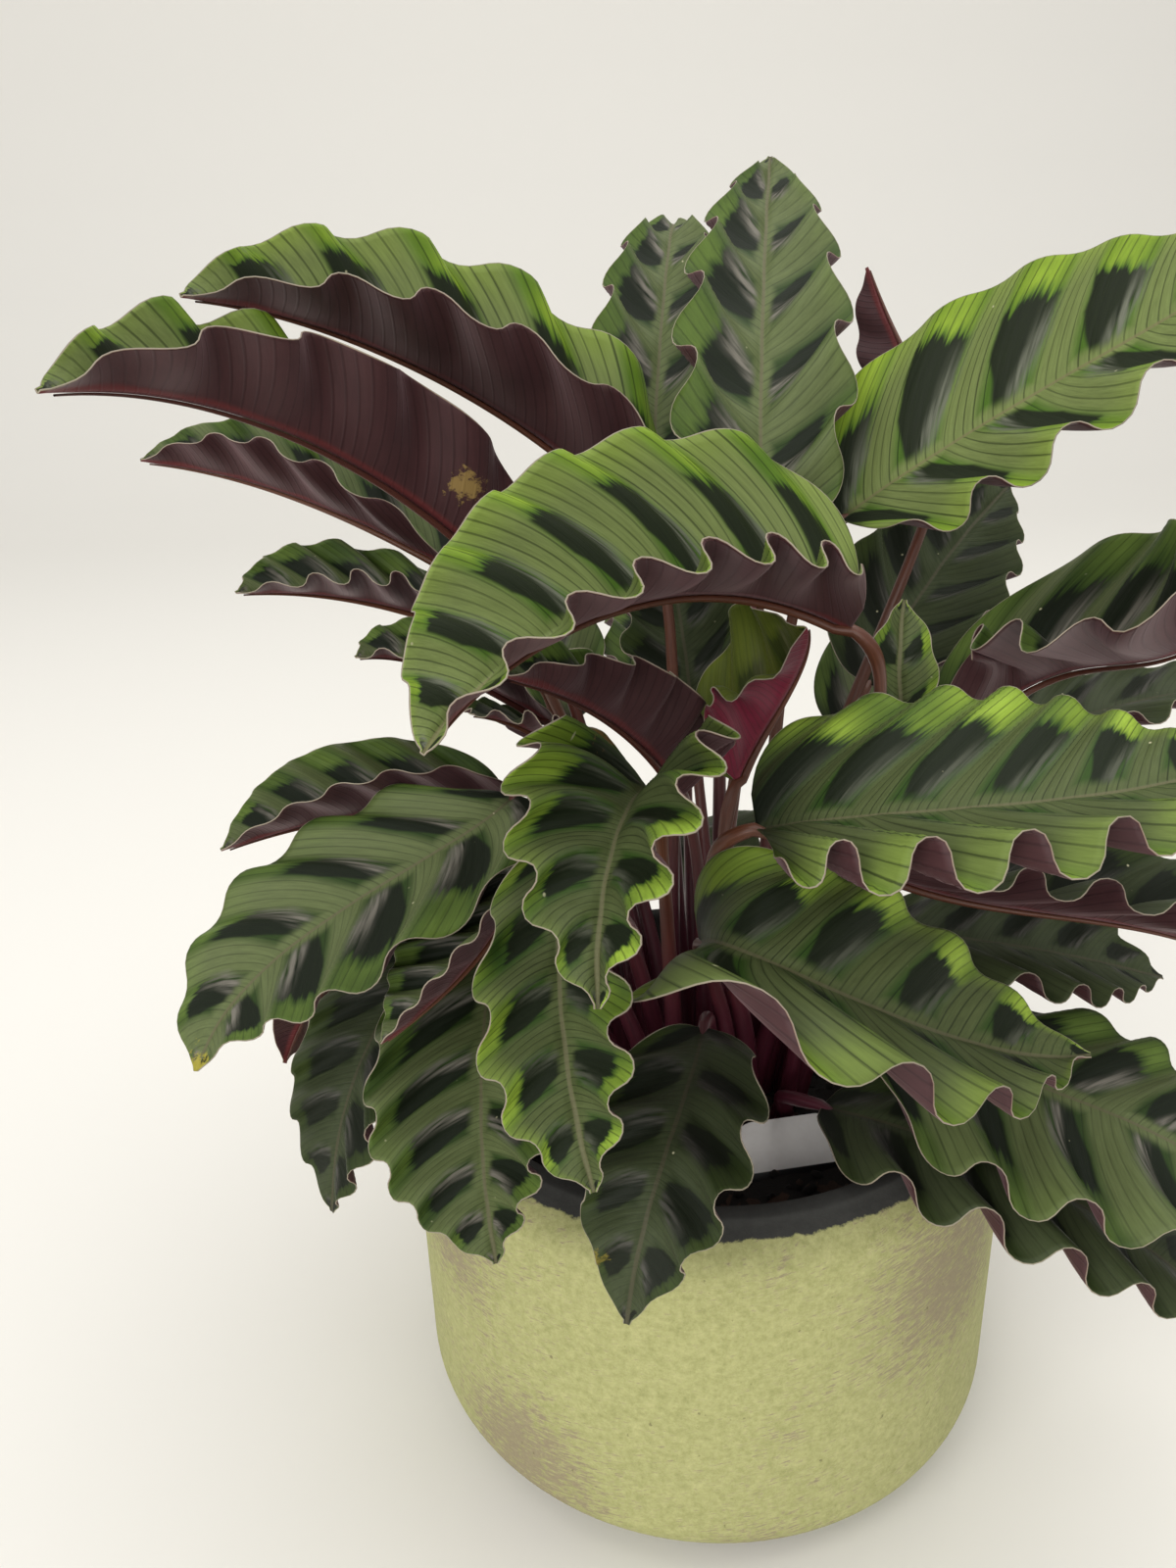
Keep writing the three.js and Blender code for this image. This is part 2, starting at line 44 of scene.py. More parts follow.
# ---- sizes shared with the solids, in mm ----
POT_BELLY_RADIUS = 92
POT_RIM_RADIUS = 83
POT_FOOT_RADIUS = 46
POT_HEIGHT = 124
POT_CORNER_HEIGHT = 22
POT_SHOULDER_HEIGHT = 112
POT_WALL = 6
POT_FLOOR = 9
NURSERY_TOP_RADIUS = 69
NURSERY_FOOT_RADIUS = 56
NURSERY_FLOOR = 9.3
NURSERY_TOP = 110.3
NURSERY_WALL = 1.2
NURSERY_LIP = 3
SOIL_TOP = 102.3
CROWN_DEPTH = 16
LABEL_WIDTH = 42
LABEL_HEIGHT = 31
LABEL_PLACE = (23, -49, 89)
LABEL_TURN = 0.16
LABEL_LEAN = -0.6

# ---- the leaves, in mm and degrees ----
# rib: points of the midrib from the stalk to the tip. width: across both halves, laid flat.
# fold: how far the left and the right half are folded up. roll: turn about the midrib at the base
# and at the tip. waves: their number. wave: how far a lobe sags on the left and the right margin,
# where a negative one rises. widest: where along the rib. side: compass angle of the right half,
# where it isn't square to the rib. foot: where the stalk leaves the crown. rise and neck: the
# height of its upright start, as a share of its span, and the length of its bend into the blade.
LEAVES = [
    dict(name="high_left", rib=[(-15, 30, 276), (-50, 20, 309), (-89, 0, 332), (-117, -40, 342)],
         width=70, fold=(25, 75), foot=(-8, 10), widest=0.3, roll=(12, -5), wave=(3.5, -4.5),
         shade="fresh"),
    dict(name="low_left",
         rib=[(-50, 10, 262), (-82, -15, 299), (-110, -50, 320), (-126, -100, 327)],
         width=52, fold=(50, 60), foot=(-14, 0), roll=(-5, 10), wave=(3.5, -4.5), shade="fresh"),
    dict(name="back_left_1", rib=[(-73, 70, 257), (-125, 75, 283), (-167, 60, 297)],
         width=46, fold=(46, 50), widest=0.55, foot=(-12, 14), roll=(18, -5)),
    dict(name="back_left_2", rib=[(-64, 60, 238), (-102, 50, 254), (-132, 20, 264)],
         width=49, fold=(25, 37), foot=(-18, 10)),
    dict(name="back_left_3", rib=[(-45, 30, 219), (-75, 20, 240), (-97, 5, 248)],
         width=38, fold=(20, 30), waves=4, foot=(-16, 4)),
    dict(name="front_arch",
         rib=[(31, -38, 263), (-10, -50, 276), (-43, -90, 276), (-60, -135, 271)],
         width=75, fold=(25, 65), roll=(15, -20), waves=7, foot=(18, 0), shade="fresh",
         wave=(4, -3), widest=0.25),
    dict(name="top_middle", rib=[(15, 0, 276), (17, 20, 314), (24, 65, 351), (31, 105, 378)],
         width=46, fold=(20, 20), waves=6, side=0, foot=(2, 6), wave=(4.5, 4.5), widest=0.35),
    dict(name="top_left", rib=[(-10, 60, 277), (-7, 80, 313), (-1, 115, 349), (4, 145, 361)],
         width=42, fold=(15, 15), waves=6, side=0, foot=(-4, 16), wave=(4, 4), widest=0.3),
    dict(name="high_right", rib=[(40, 20, 279), (72, 10, 303), (103, -10, 326), (133, -25, 347)],
         width=70, fold=(25, 15), roll=(-40, -40), foot=(16, 10), shade="fresh", wave=(-1.2, 3.5),
         widest=0.3),
    dict(name="spike", rib=[(78, 60, 300), (70, 85, 322), (62, 98, 345)],
         width=26, fold=(55, 55), waves=3, side=200, foot=(15, 13), wave=(1.5, 1.5)),
    dict(name="back_right_dark", rib=[(58, 50, 220), (83, 70, 251), (112, 90, 276)],
         width=52, fold=(20, 20), roll=(-30, -30), foot=(20, 14), shade="old"),
    dict(name="mid_right_1", rib=[(67, -5, 218), (98, -10, 242), (106, -45, 256), (125, -60, 287)],
         width=72, fold=(55, 30), foot=(22, 4), widest=0.5, wave=(-1.5, 4.5)),
    dict(name="mid_right_back", rib=[(78, 40, 189), (129, 40, 212), (175, 30, 222)],
         width=54, fold=(10, 10), foot=(24, 12), shade="old"),
    dict(name="front_right", rib=[(4, -75, 228), (35, -82, 234), (71, -92, 241), (106, -88, 247)],
         width=80, fold=(20, 10), waves=6, widest=0.2, foot=(12, -12), shade="young",
         wave=(-1.8, 5), roll=(5, -10), rise=0.4),
    dict(name="tiny_new", rib=[(49, -24, 236), (48, -22, 250), (50, -15, 264)],
         width=19, fold=(30, 30), waves=2, side=0, foot=(14, -4), shade="young", wave=(1, 1)),
    dict(name="front_middle",
         rib=[(-17, -57, 226), (-23, -80, 239), (-30, -108, 236), (-33, -130, 218)],
         width=50, fold=(45, 35), waves=6, foot=(-8, -18), shade="young", wave=(4, 4), neck=10,
         roll=(5, 0)),
    dict(name="front_left",
         rib=[(-40, -60, 220), (-41, -95, 207), (-39, -120, 194), (-35, -135, 180)],
         width=34, fold=(50, 12), foot=(-10, -12), shade="young", widest=0.5),
    dict(name="left_front_short",
         rib=[(-52, -47, 205), (-58, -61, 196), (-69, -75, 189), (-83, -86, 182)],
         width=44, fold=(58, 3), foot=(-12, -20), wave=(-1, 3), neck=14),
    dict(name="left_drop",
         rib=[(-60, -30, 179), (-62, -68, 165), (-61, -92, 151), (-58, -108, 137)],
         width=54, fold=(50, 10), waves=6, foot=(-18, -14)),
    dict(name="left_drop_small",
         rib=[(-81, -10, 166), (-96, -30, 149), (-105, -45, 130), (-110, -50, 102)],
         width=44, fold=(20, 5), foot=(-24, -4), shade="old"),
    dict(name="left_big",
         rib=[(-54, -12, 212), (-79, -37, 204), (-111, -56, 190), (-130, -77, 170)],
         width=62, fold=(0, 15), foot=(-20, 0), wave=(2.5, -2), widest=0.5, roll=(0, -5)),
    dict(name="left_tuck", rib=[(-91, 20, 159), (-118, 10, 141), (-131, -5, 121)],
         width=34, fold=(10, 10), roll=(-75, -75), waves=4, foot=(-24, 3), shade="old",
         wave=(1.5, 1.5)),
    dict(name="left_mid", rib=[(-58, 20, 196), (-99, 0, 203), (-133, -25, 204)],
         width=49, fold=(45, 40), foot=(-22, 6), wave=(1.5, 2)),
    dict(name="arch_left", rib=[(-10, -12, 215), (-28, -36, 242), (-51, -70, 264)],
         width=40, fold=(45, 50), foot=(0, -6)),
    dict(name="arch_dark", rib=[(0, 34, 215), (-3, 42, 245), (-8, 50, 270)],
         width=36, fold=(10, 10), waves=4, side=0, foot=(4, 0), shade="old"),
    dict(name="arch_under", rib=[(-38, 15, 212), (-51, 5, 226), (-64, -15, 237)],
         width=30, fold=(10, 10), waves=4, foot=(-8, 4), shade="old"),
    dict(name="front_right_low",
         rib=[(-8, -68, 195), (5, -102, 209), (40, -100, 190), (76, -97, 180)],
         width=56, fold=(25, 15), roll=(-5, -5), foot=(6, -16), shade="young", wave=(-2, 4.5)),
    dict(name="low_right_1", rib=[(40, -40, 153), (78, -65, 149), (106, -85, 145), (146, -95, 118)],
         width=68, fold=(5, -14), foot=(20, -14), wave=(-2, 4.5)),
    dict(name="low_right_2", rib=[(29, -44, 128), (60, -68, 132), (92, -83, 121), (134, -89, 86)],
         width=50, fold=(5, 0), waves=6, foot=(20, -16), shade="old", wave=(-2, 4)),
    dict(name="mid_right_low", rib=[(53, -8, 163), (97, -12, 157), (134, -16, 148)],
         width=52, fold=(10, 10), foot=(26, -6), shade="old", roll=(0, -15)),
    dict(name="mid_right_2", rib=[(48, -20, 188), (85, -25, 178), (117, -40, 178), (145, -50, 165)],
         width=56, fold=(35, 42), foot=(24, -2), shade="old", wave=(-2, 4.5)),
    dict(name="front_drop",
         rib=[(-5, -50, 159), (-14, -85, 161), (-23, -108, 152), (-29, -116, 126)],
         width=38, fold=(10, 10), foot=(0, -24), shade="old", wave=(3.5, 3.5)),
    dict(name="red_new", rib=[(6, -25, 219), (14, -21, 233), (21, -24, 248), (21, -35, 263)],
         width=54, fold=(30, 60), waves=3, widest=0.6, side=280, foot=(8, -8), shade="new",
         wave=(-2, 2.5), roll=(0, 5)),
    dict(name="rear_high", rib=[(12, 62, 262), (22, 105, 296), (36, 160, 300)],
         width=62, fold=(25, 25), foot=(6, 17), shade="young"),
    dict(name="rear_left", rib=[(-38, 66, 205), (-64, 110, 232), (-88, 150, 222)],
         width=54, fold=(20, 20), foot=(-12, 18)),
    dict(name="rear_middle", rib=[(0, 60, 196), (2, 112, 222), (4, 166, 208)],
         width=54, fold=(15, 15), foot=(0, 22)),
    dict(name="rear_right", rib=[(56, 70, 196), (98, 112, 218), (132, 152, 204)],
         width=58, fold=(20, 20), foot=(15, 20)),
    dict(name="rear_low_left", rib=[(-48, 50, 150), (-86, 86, 158), (-120, 120, 130)],
         width=54, fold=(5, 5), foot=(-20, 14), shade="old"),
    dict(name="rear_low", rib=[(2, 56, 140), (10, 104, 150), (18, 146, 118)],
         width=48, fold=(5, 5), foot=(4, 24), shade="old"),
    dict(name="rear_low_right", rib=[(52, 44, 148), (94, 76, 152), (132, 104, 122)],
         width=54, fold=(5, 5), foot=(21, 16), shade="old"),
]
LEAF_DEFAULTS = dict(waves=5, roll=(0, 0), wave=(3, 3), widest=0.42, shade="mature", rise=0.45,
                     neck=26)

VEIN_SLANT = 0.45  # how far veins and waves run ahead at the margin, as shares of the half width
VEIN_BEND = 0.35
WAVE_GROWTH = 1.35  # power by which waves grow towards the margin
WAVE_FADE = 0.8  # power that puts the highest waves near the base
SCALLOP = 0.5  # how far lobes stand out, as a share of the wave
LOBE_SHIFT = 0.2  # of a wave: to the tip on the right half, and to the base on the left
LOBE_SPREAD = 0.2  # how far the points of a lobe move along the rib, as a share of the wave
LOBE_FULLNESS = 0.5  # makes lobes wider than notches
LOBE_LEAN = 0.4  # leans lobes back to the base
PLEAT = 1.0  # height of the creased folds half way out to the margin
PLEAT_FADE = 15  # half width below which they are lower
BASE_ROUNDING = 2.4  # powers of the outline's two curves
TIP_ROUNDING = 2.2
END_HALF_WIDTH = 0.8  # of a blade where it starts and ends
SEAT_GAP = 0.7  # between the stalk's end and the blade
BLADE_THICKNESS = 0.3  # the real blade's, thinner than its solid
ROWS_PER_WAVE = 16
CELLS_ACROSS = 40
RIB_GROOVE = 0.5  # depth of the channel over the midrib
RIB_GROOVE_WIDTH = 1.1
GROOVE_FADE = 6  # half width below which it is shallower
LENGTH_STEPS = 41


# ---- mesh helpers ----
def placed(name, mesh, finishes):
    piece = bpy.data.objects.new(name, mesh)
    bpy.context.scene.collection.objects.link(piece)
    for finish in finishes:
        mesh.materials.append(finish)
    mesh.shade_smooth()
    return piece


def finished(name, mesh, finishes, body="root"):
    piece = placed(name, mesh, finishes)
    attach(piece, body)
    return piece


def give_wall(piece, thickness):
    """Makes a sheet this thick, in mm."""
    wall = piece.modifiers.new("thickness", "SOLIDIFY")
    wall.thickness = thickness * MM
    wall.offset = 0
    return wall


def grid(bm, cells, rows):
    """A fresh grid's vertices, with their place across (-1 to 1) and along (0 to 1) as arrays."""
    verts = bmesh.ops.create_grid(bm, x_segments=cells, y_segments=rows, size=1)["verts"]
    place = np.array([vert.co for vert in verts])
    return verts, place[:, 0], (place[:, 1] + 1) / 2


def move_to(verts, places):
    for vert, place in zip(verts, places):
        vert.co = place


def add_uv(mesh, name, u, v):
    """A UV map from two values for each vertex."""
    corner = np.empty(len(mesh.loops), int)
    mesh.loops.foreach_get("vertex_index", corner)
    layer = mesh.uv_layers.new(name=name)
    layer.uv.foreach_set("vector", np.stack([u[corner], v[corner]], 1).ravel())


def to_mesh(bm, name):
    mesh = bpy.data.meshes.new(name)
    bm.to_mesh(mesh)
    bm.free()
    return mesh


# ---- leaf surface, as in the solids ----
def curve_at(points, s):
    """The curve through evenly spaced points, which it meets at even steps of s."""
    last = len(points) - 1
    result = np.zeros((len(s), 3))
    for i, point in enumerate(points):
        weight = np.ones(len(s))
        for j in range(len(points)):
            if j != i:
                weight = weight * (s * last - j) / (i - j)
        result += weight[:, None] * np.array(point, float)
    return result


def unit(vectors):
    return vectors / np.linalg.norm(vectors, axis=-1, keepdims=True)


def direction_at(points, s):
    step = 0.001
    return unit(curve_at(points, s + step) - curve_at(points, s - step))


def rib_length(points):
    places = curve_at(points, np.linspace(0, 1, LENGTH_STEPS))
    return float(np.linalg.norm(np.diff(places, axis=0), axis=1).sum())


def blade_outline(s, widest):
    """Share of the full half width: a round base, a long taper and a pointed tip."""
    base = np.sqrt(np.maximum(0, 1 - np.abs(1 - s / widest) ** BASE_ROUNDING))
    taper = 1 - np.maximum(0, (s - widest) / (1 - widest)) ** TIP_ROUNDING
    return np.where(s < widest, base, taper)


def across_direction(leaf):
    if "side" in leaf:
        angle = math.radians(leaf["side"])
        return np.array([math.cos(angle), math.sin(angle), 0])
    chord = np.subtract(leaf["rib"][-1], leaf["rib"][0])
    return unit(np.array([chord[1], -chord[0], 0.0]))


def leaf_frame(leaf, s):
    """Unit vectors along the rib, across the blade to its right, and up out of its upper face."""
    along = direction_at(leaf["rib"], s)
    side = across_direction(leaf)
    level = unit(side - along * (along @ side)[:, None])
    raised = np.cross(level, along)
    roll = np.radians(leaf["roll"][0] + (leaf["roll"][1] - leaf["roll"][0]) * s)[:, None]
    across = level * np.cos(roll) + raised * np.sin(roll)
    return along, across, np.cross(across, along)


def leaf_surface(leaf, s, v):
    """Places on the blade, with each one's vein number, reach from the rib and half width there."""
    along, across, up = leaf_frame(leaf, s)
    a = np.abs(v)
    half = (v > 0).astype(int)
    width = np.maximum(blade_outline(s, leaf["widest"]) * leaf["width"] / 2, END_HALF_WIDTH)
    vein = leaf["waves"] * (s - (VEIN_SLANT * a + VEIN_BEND * a**2) * width / leaf["length"])
    angle = 2 * np.pi * (vein - np.sign(v) * LOBE_SHIFT)
    fade = np.sqrt(np.sin(np.pi * np.clip(s, 0, 1) ** WAVE_FADE))
    swing = np.array(leaf["wave"])[half] * a**WAVE_GROWTH * fade
    fold = np.radians(np.array(leaf["fold"])[half])
    reach = a * width + SCALLOP * np.abs(swing) * np.sqrt(np.cos(fold)) * np.cos(angle)
    groove = RIB_GROOVE * np.exp(-((reach / RIB_GROOVE_WIDTH) ** 2))
    groove *= np.minimum(1, width / GROOVE_FADE)
    pleat = PLEAT * np.sign(swing) * np.sin(np.pi * a) * (2 * np.abs(np.cos(angle / 2)) - 1)
    pleat *= fade * np.minimum(1, width / PLEAT_FADE)
    lift = -swing * np.cos(angle) - pleat - groove
    outward = np.sign(v) * (reach * np.cos(fold) - lift * np.sin(fold))
    upward = reach * np.sin(fold) + lift * np.cos(fold)
    meander = np.sin(2 * angle) + LOBE_FULLNESS * np.sin(angle) - LOBE_LEAN * np.cos(angle)
    spread = LOBE_SPREAD * np.abs(swing) * meander
    places = curve_at(leaf["rib"], s)
    places += across * outward[:, None] + up * upward[:, None] + along * spread[:, None]
    return places, vein, reach, width


LEAVES = [{**LEAF_DEFAULTS, **row, "length": rib_length(row["rib"])} for row in LEAVES]
PATCH_SPACING = 0.5  # metres, so that no two blades share a stretch of their noise


def leaf_blade(number, leaf):
    bm = bmesh.new()
    verts, v, s = grid(bm, CELLS_ACROSS, round(ROWS_PER_WAVE * leaf["waves"]))
    places, vein, reach, width = leaf_surface(leaf, s, v)
    move_to(verts, places * MM)
    mesh = to_mesh(bm, "blade_" + leaf["name"])
    add_uv(mesh, "vein", vein, v)
    add_uv(mesh, "flat", s * leaf["length"] * MM + number * PATCH_SPACING, np.sign(v) * reach * MM)
    add_uv(mesh, "edge", (1 - np.abs(v)) * width * MM, s)
    shade = leaf["shade"]
    piece = finished(mesh.name, mesh, [UPPER[shade], UNDER[shade], MARGIN])
    wall = give_wall(piece, BLADE_THICKNESS)
    wall.material_offset = 1
    wall.material_offset_rim = 2
    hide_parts("leaf_" + leaf["name"])


# ---- stalks, in mm ----
STALK_STEPS = 44
RIB_STEPS = 40
STALK_SIDES = 10
SHEATH_RADIUS = 3.8
STALK_RADIUS = 1.5
STALK_TAPER = 1.6  # power by which the sheath thins to the stalk
KNEE_RADIUS = 1.9  # the swollen joint under a blade
KNEE_LENGTH = 14
RIB_START_RADIUS = 1.25
RIB_END_RADIUS = 0.2
RIB_TAPER = 0.8
RIB_REACH = 0.97  # share of the midrib along which it stands out under the blade
RIB_DEPTH = 0.5  # of its crest under the blade's upper face, which it must not break through


def stalk_path(leaf):
    """The stalk's places from the crown to the blade."""
    foot = np.array([*leaf["foot"], SOIL_TOP - CROWN_DEPTH / 2])
    along = direction_at(leaf["rib"], np.zeros(1))[0]
    end = np.array(leaf["rib"][0], float) - SEAT_GAP * along
    first = foot + 0.5 * np.array([*leaf["foot"], 0.0])
    first[2] += leaf["rise"] * np.linalg.norm(end - foot)
    second = end - leaf["neck"] * along
    t = np.linspace(0, 1, STALK_STEPS + 1)[:, None]
    return ((1 - t) ** 3 * foot + 3 * (1 - t) ** 2 * t * first
            + 3 * (1 - t) * t**2 * second + t**3 * end)


def add_tube(bm, path, radii, sides):
    """A round tube along a path, from a grid that is rolled up and closed at its seam."""
    verts, v, s = grid(bm, sides, len(path) - 1)
    step = np.rint(s * (len(path) - 1)).astype(int)
    tangent = unit(np.gradient(path, axis=0))
    side = np.zeros_like(path)
    last = np.array([1.0, 0.0, 0.0])
    for i, direction in enumerate(tangent):
        last = last - direction * (last @ direction)
        last /= np.linalg.norm(last)
        side[i] = last
    other = np.cross(tangent, side)
    angle = (np.pi * v)[:, None]
    ring = side[step] * np.cos(angle) + other[step] * np.sin(angle)
    move_to(verts, (path[step] + radii[step][:, None] * ring) * MM)
    return v, s


def stalks():
    bm = bmesh.new()
    around, height = [], []
    for number, leaf in enumerate(LEAVES):
        path = stalk_path(leaf)
        gone = np.concatenate([[0], np.cumsum(np.linalg.norm(np.diff(path, axis=0), axis=1))])
        t = gone / gone[-1]
        radii = STALK_RADIUS + (SHEATH_RADIUS - STALK_RADIUS) * (1 - t) ** STALK_TAPER
        knee = np.exp(-(((gone[-1] - gone) - KNEE_LENGTH / 2) / (KNEE_LENGTH / 2)) ** 2)
        radii = radii + (KNEE_RADIUS - STALK_RADIUS) * knee
        s = np.linspace(0, RIB_REACH, RIB_STEPS)[1:]
        rib_radii = RIB_START_RADIUS + (RIB_END_RADIUS - RIB_START_RADIUS) * s**RIB_TAPER
        _, _, up = leaf_frame(leaf, s)
        rib = curve_at(leaf["rib"], s) - up * (rib_radii + RIB_DEPTH)[:, None]
        whole = np.concatenate([path, rib])
        v, along = add_tube(bm, whole, np.concatenate([radii, rib_radii]), STALK_SIDES)
        step = np.rint(along * (len(whole) - 1)).astype(int)
        run = np.concatenate([gone, gone[-1] + s * leaf["length"]])[step]
        around.append(v + 2 * number)
        height.append(run * MM)
    mesh = to_mesh(bm, "stalks")
    add_uv(mesh, "skin", np.concatenate(around), np.concatenate(height))
    piece = finished("stalks", mesh, [STALK_SKIN])
    weld = piece.modifiers.new("seam", "WELD")
    weld.merge_threshold = SAME_PLACE * MM
    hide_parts("stems")


# ---- planter, grower's pot, soil and label, in mm ----
POT_SIDES = 128
BELLY_SPAN = (30, 108)  # heights between which the planter's wall is upright
RIM_ROUNDING = 1.2
INNER_CORNER = 8
NURSERY_SIDES = 96
SOIL_SIDES = 90
SOIL_GAP = 1.5  # to the grower's pot
SOIL_SEED = 7
SOIL_SWELLS = 14
SWELL_HEIGHT = 2.6
EDGE_DIP = 2.5  # where watering has washed the soil down
CRUMBS = 420
CRUMB_SIZES = (0.9, 3.0)
CRUMB_SINK = 0.6
ANY_ANGLE = 6.3  # radians, a little over a full turn
LABEL_CUT = 9  # size of the cut corners
LABEL_ROUNDING = 2.5
LABEL_THICKNESS = 0.6


def spun(name, profile, sides):
    """A profile of (radius, height) in mm, turned about the Z axis."""
    bm = bmesh.new()
    verts = [bm.verts.new((radius * MM, 0, height * MM)) for radius, height in profile]
    edges = [bm.edges.new(pair) for pair in zip(verts, verts[1:])]
    bmesh.ops.spin(bm, geom=verts + edges, cent=(0, 0, 0), axis=(0, 0, 1), angle=2 * math.pi,
                   steps=sides, use_merge=True)
    bmesh.ops.remove_doubles(bm, verts=bm.verts, dist=SAME_PLACE * MM)
    bmesh.ops.recalc_face_normals(bm, faces=bm.faces)
    return to_mesh(bm, name)


def quarter(centre, radii, start, steps):
    """Points of a quarter ellipse, counterclockwise from a start angle in degrees."""
    angles = np.radians(np.linspace(start, start + 90, steps + 1))
    return [(centre[0] + radii[0] * math.cos(t), centre[1] + radii[1] * math.sin(t))
            for t in angles]


def planter():
    foot, belly, rim, top = POT_FOOT_RADIUS, POT_BELLY_RADIUS, POT_RIM_RADIUS, POT_HEIGHT
    low, high, floor = POT_CORNER_HEIGHT, POT_SHOULDER_HEIGHT, POT_FLOOR
    inside = rim - POT_WALL
    corner = quarter((foot, low), (belly - foot, low), start=-90, steps=20)
    upright = [(belly, height) for height in np.linspace(*BELLY_SPAN, 14)]
    shoulder = [(belly - (belly - rim) * t * t, high + (top - 1 - high) * t)
                for t in np.linspace(0, 1, 12)]
    profile = [(0, 0), (foot - 4, 0), *corner, *upright, *shoulder, (rim - 0.4, top - 0.35),
               (rim - RIM_ROUNDING, top), (inside + RIM_ROUNDING, top),
               (inside + 0.4, top - 0.35), (inside, top - RIM_ROUNDING),
               (inside, floor + INNER_CORNER), (inside - 2.5, floor + 2.5),
               (inside - INNER_CORNER, floor), (0, floor)]
    piece = finished("planter", spun("planter", profile, POT_SIDES), [PLANTER_PAINT])
    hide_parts("pot")


def nursery_pot():
    floor, top, wall = NURSERY_FLOOR, NURSERY_TOP, NURSERY_WALL
    foot, side = NURSERY_FOOT_RADIUS, NURSERY_TOP_RADIUS
    lip, inside = side + NURSERY_LIP, side - wall
    profile = [(0, floor), (foot - 3, floor), (foot, floor + 3), (side - 0.6, top - 9),
               (side, top - 5.4), (lip - 0.5, top - 5), (lip, top - 4.4), (lip, top - 0.8),
               (lip - 0.8, top), (inside + 0.6, top), (inside, top - 0.6),
               (foot - wall, floor + 3), (foot - 3, floor + wall), (0, floor + wall)]
    mesh = spun("grower_pot", profile, NURSERY_SIDES)
    piece = finished("grower_pot", mesh, [BLACK_PLASTIC])
    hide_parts("nursery_pot")


def soil():
    """A lumpy disc of peat with bark crumbs on it."""
    rng = np.random.default_rng(SOIL_SEED)
    radius = NURSERY_TOP_RADIUS - NURSERY_WALL - SOIL_GAP
    bottom = NURSERY_FLOOR + 2
    profile = [(0, SOIL_TOP), *[(r, SOIL_TOP) for r in np.linspace(3, radius, 26)],
               (radius - 0.5, SOIL_TOP - 8), (NURSERY_FOOT_RADIUS - 3, bottom), (0, bottom)]
    mesh = spun("soil", profile, SOIL_SIDES)
    bm = bmesh.new()
    bm.from_mesh(mesh)
    swells = [(rng.uniform(0.15, 0.9, 2) * rng.choice([-1, 1], 2), rng.uniform(0, ANY_ANGLE))
              for _ in range(SOIL_SWELLS)]
    for vert in bm.verts:
        x, y, z = vert.co / MM
        if z > SOIL_TOP - 1:
            lump = sum(math.sin(k[0] * x + k[1] * y + phase) for k, phase in swells) / len(swells)
            dip = EDGE_DIP * (math.hypot(x, y) / radius) ** 4
            vert.co.z += (SWELL_HEIGHT * lump - dip) * MM
    for _ in range(CRUMBS):
        distance = radius * 0.96 * math.sqrt(rng.uniform(0.05, 1))
        angle = rng.uniform(0, 2 * math.pi)
        size = rng.uniform(*CRUMB_SIZES) * MM
        place = Matrix.Translation((distance * math.cos(angle) * MM,
                                    distance * math.sin(angle) * MM,
                                    (SOIL_TOP - CRUMB_SINK) * MM))
        turn = Matrix.Rotation(rng.uniform(0, ANY_ANGLE), 4,
                               Vector(rng.normal(size=3)).normalized())
        breadth, thickness = rng.uniform(0.5, 1), rng.uniform(0.35, 0.8)
        stretch = Matrix.Diagonal((size, size * breadth, size * thickness, 1))
        bmesh.ops.create_icosphere(bm, subdivisions=1, radius=1, matrix=place @ turn @ stretch)
    bm.to_mesh(mesh)
    bm.free()
    piece = finished("potting_mix", mesh, [PEAT])
    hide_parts("soil")


def plant_label():
    """A plain card with cut upper corners, pushed into the soil."""
    bm = bmesh.new()
    half, top = LABEL_WIDTH / 2, LABEL_HEIGHT
    corners = [(-half, 0), (half, 0), (half, top - LABEL_CUT), (half - LABEL_CUT, top),
               (LABEL_CUT - half, top), (-half, top - LABEL_CUT)]
    face = bm.faces.new([bm.verts.new((x * MM, 0, z * MM)) for x, z in corners])
    bmesh.ops.bevel(bm, geom=face.verts[:], offset=LABEL_ROUNDING * MM, segments=5, profile=0.5,
                    affect="VERTICES", material=-1)
    bmesh.ops.triangulate(bm, faces=bm.faces)
    bmesh.ops.transform(bm, verts=bm.verts, matrix=Matrix.Translation(Vector(LABEL_PLACE) * MM)
                        @ Matrix.Rotation(LABEL_TURN, 4, "Z") @ Matrix.Rotation(LABEL_LEAN, 4, "X"))
    piece = finished("label_card", to_mesh(bm, "label_card"), [CARD])
    give_wall(piece, LABEL_THICKNESS)
    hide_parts("plant_label")


# ---- materials ----
def linear(code):
    """A hex sRGB colour as linear RGBA."""
    parts = [int(code[i:i + 2], 16) / 255 for i in (1, 3, 5)]
    return (*[p / 12.92 if p <= 0.04045 else ((p + 0.055) / 1.055) ** 2.4 for p in parts], 1)


COLOUR = dict(out=2, data_type="RGBA")  # of a Mix node that mixes colours
SMOOTH = dict(interpolation_type="SMOOTHSTEP")  # of a Map Range node
TIMES = dict(operation="MULTIPLY")  # of a Math node
TIMES_PLUS = dict(operation="MULTIPLY_ADD")


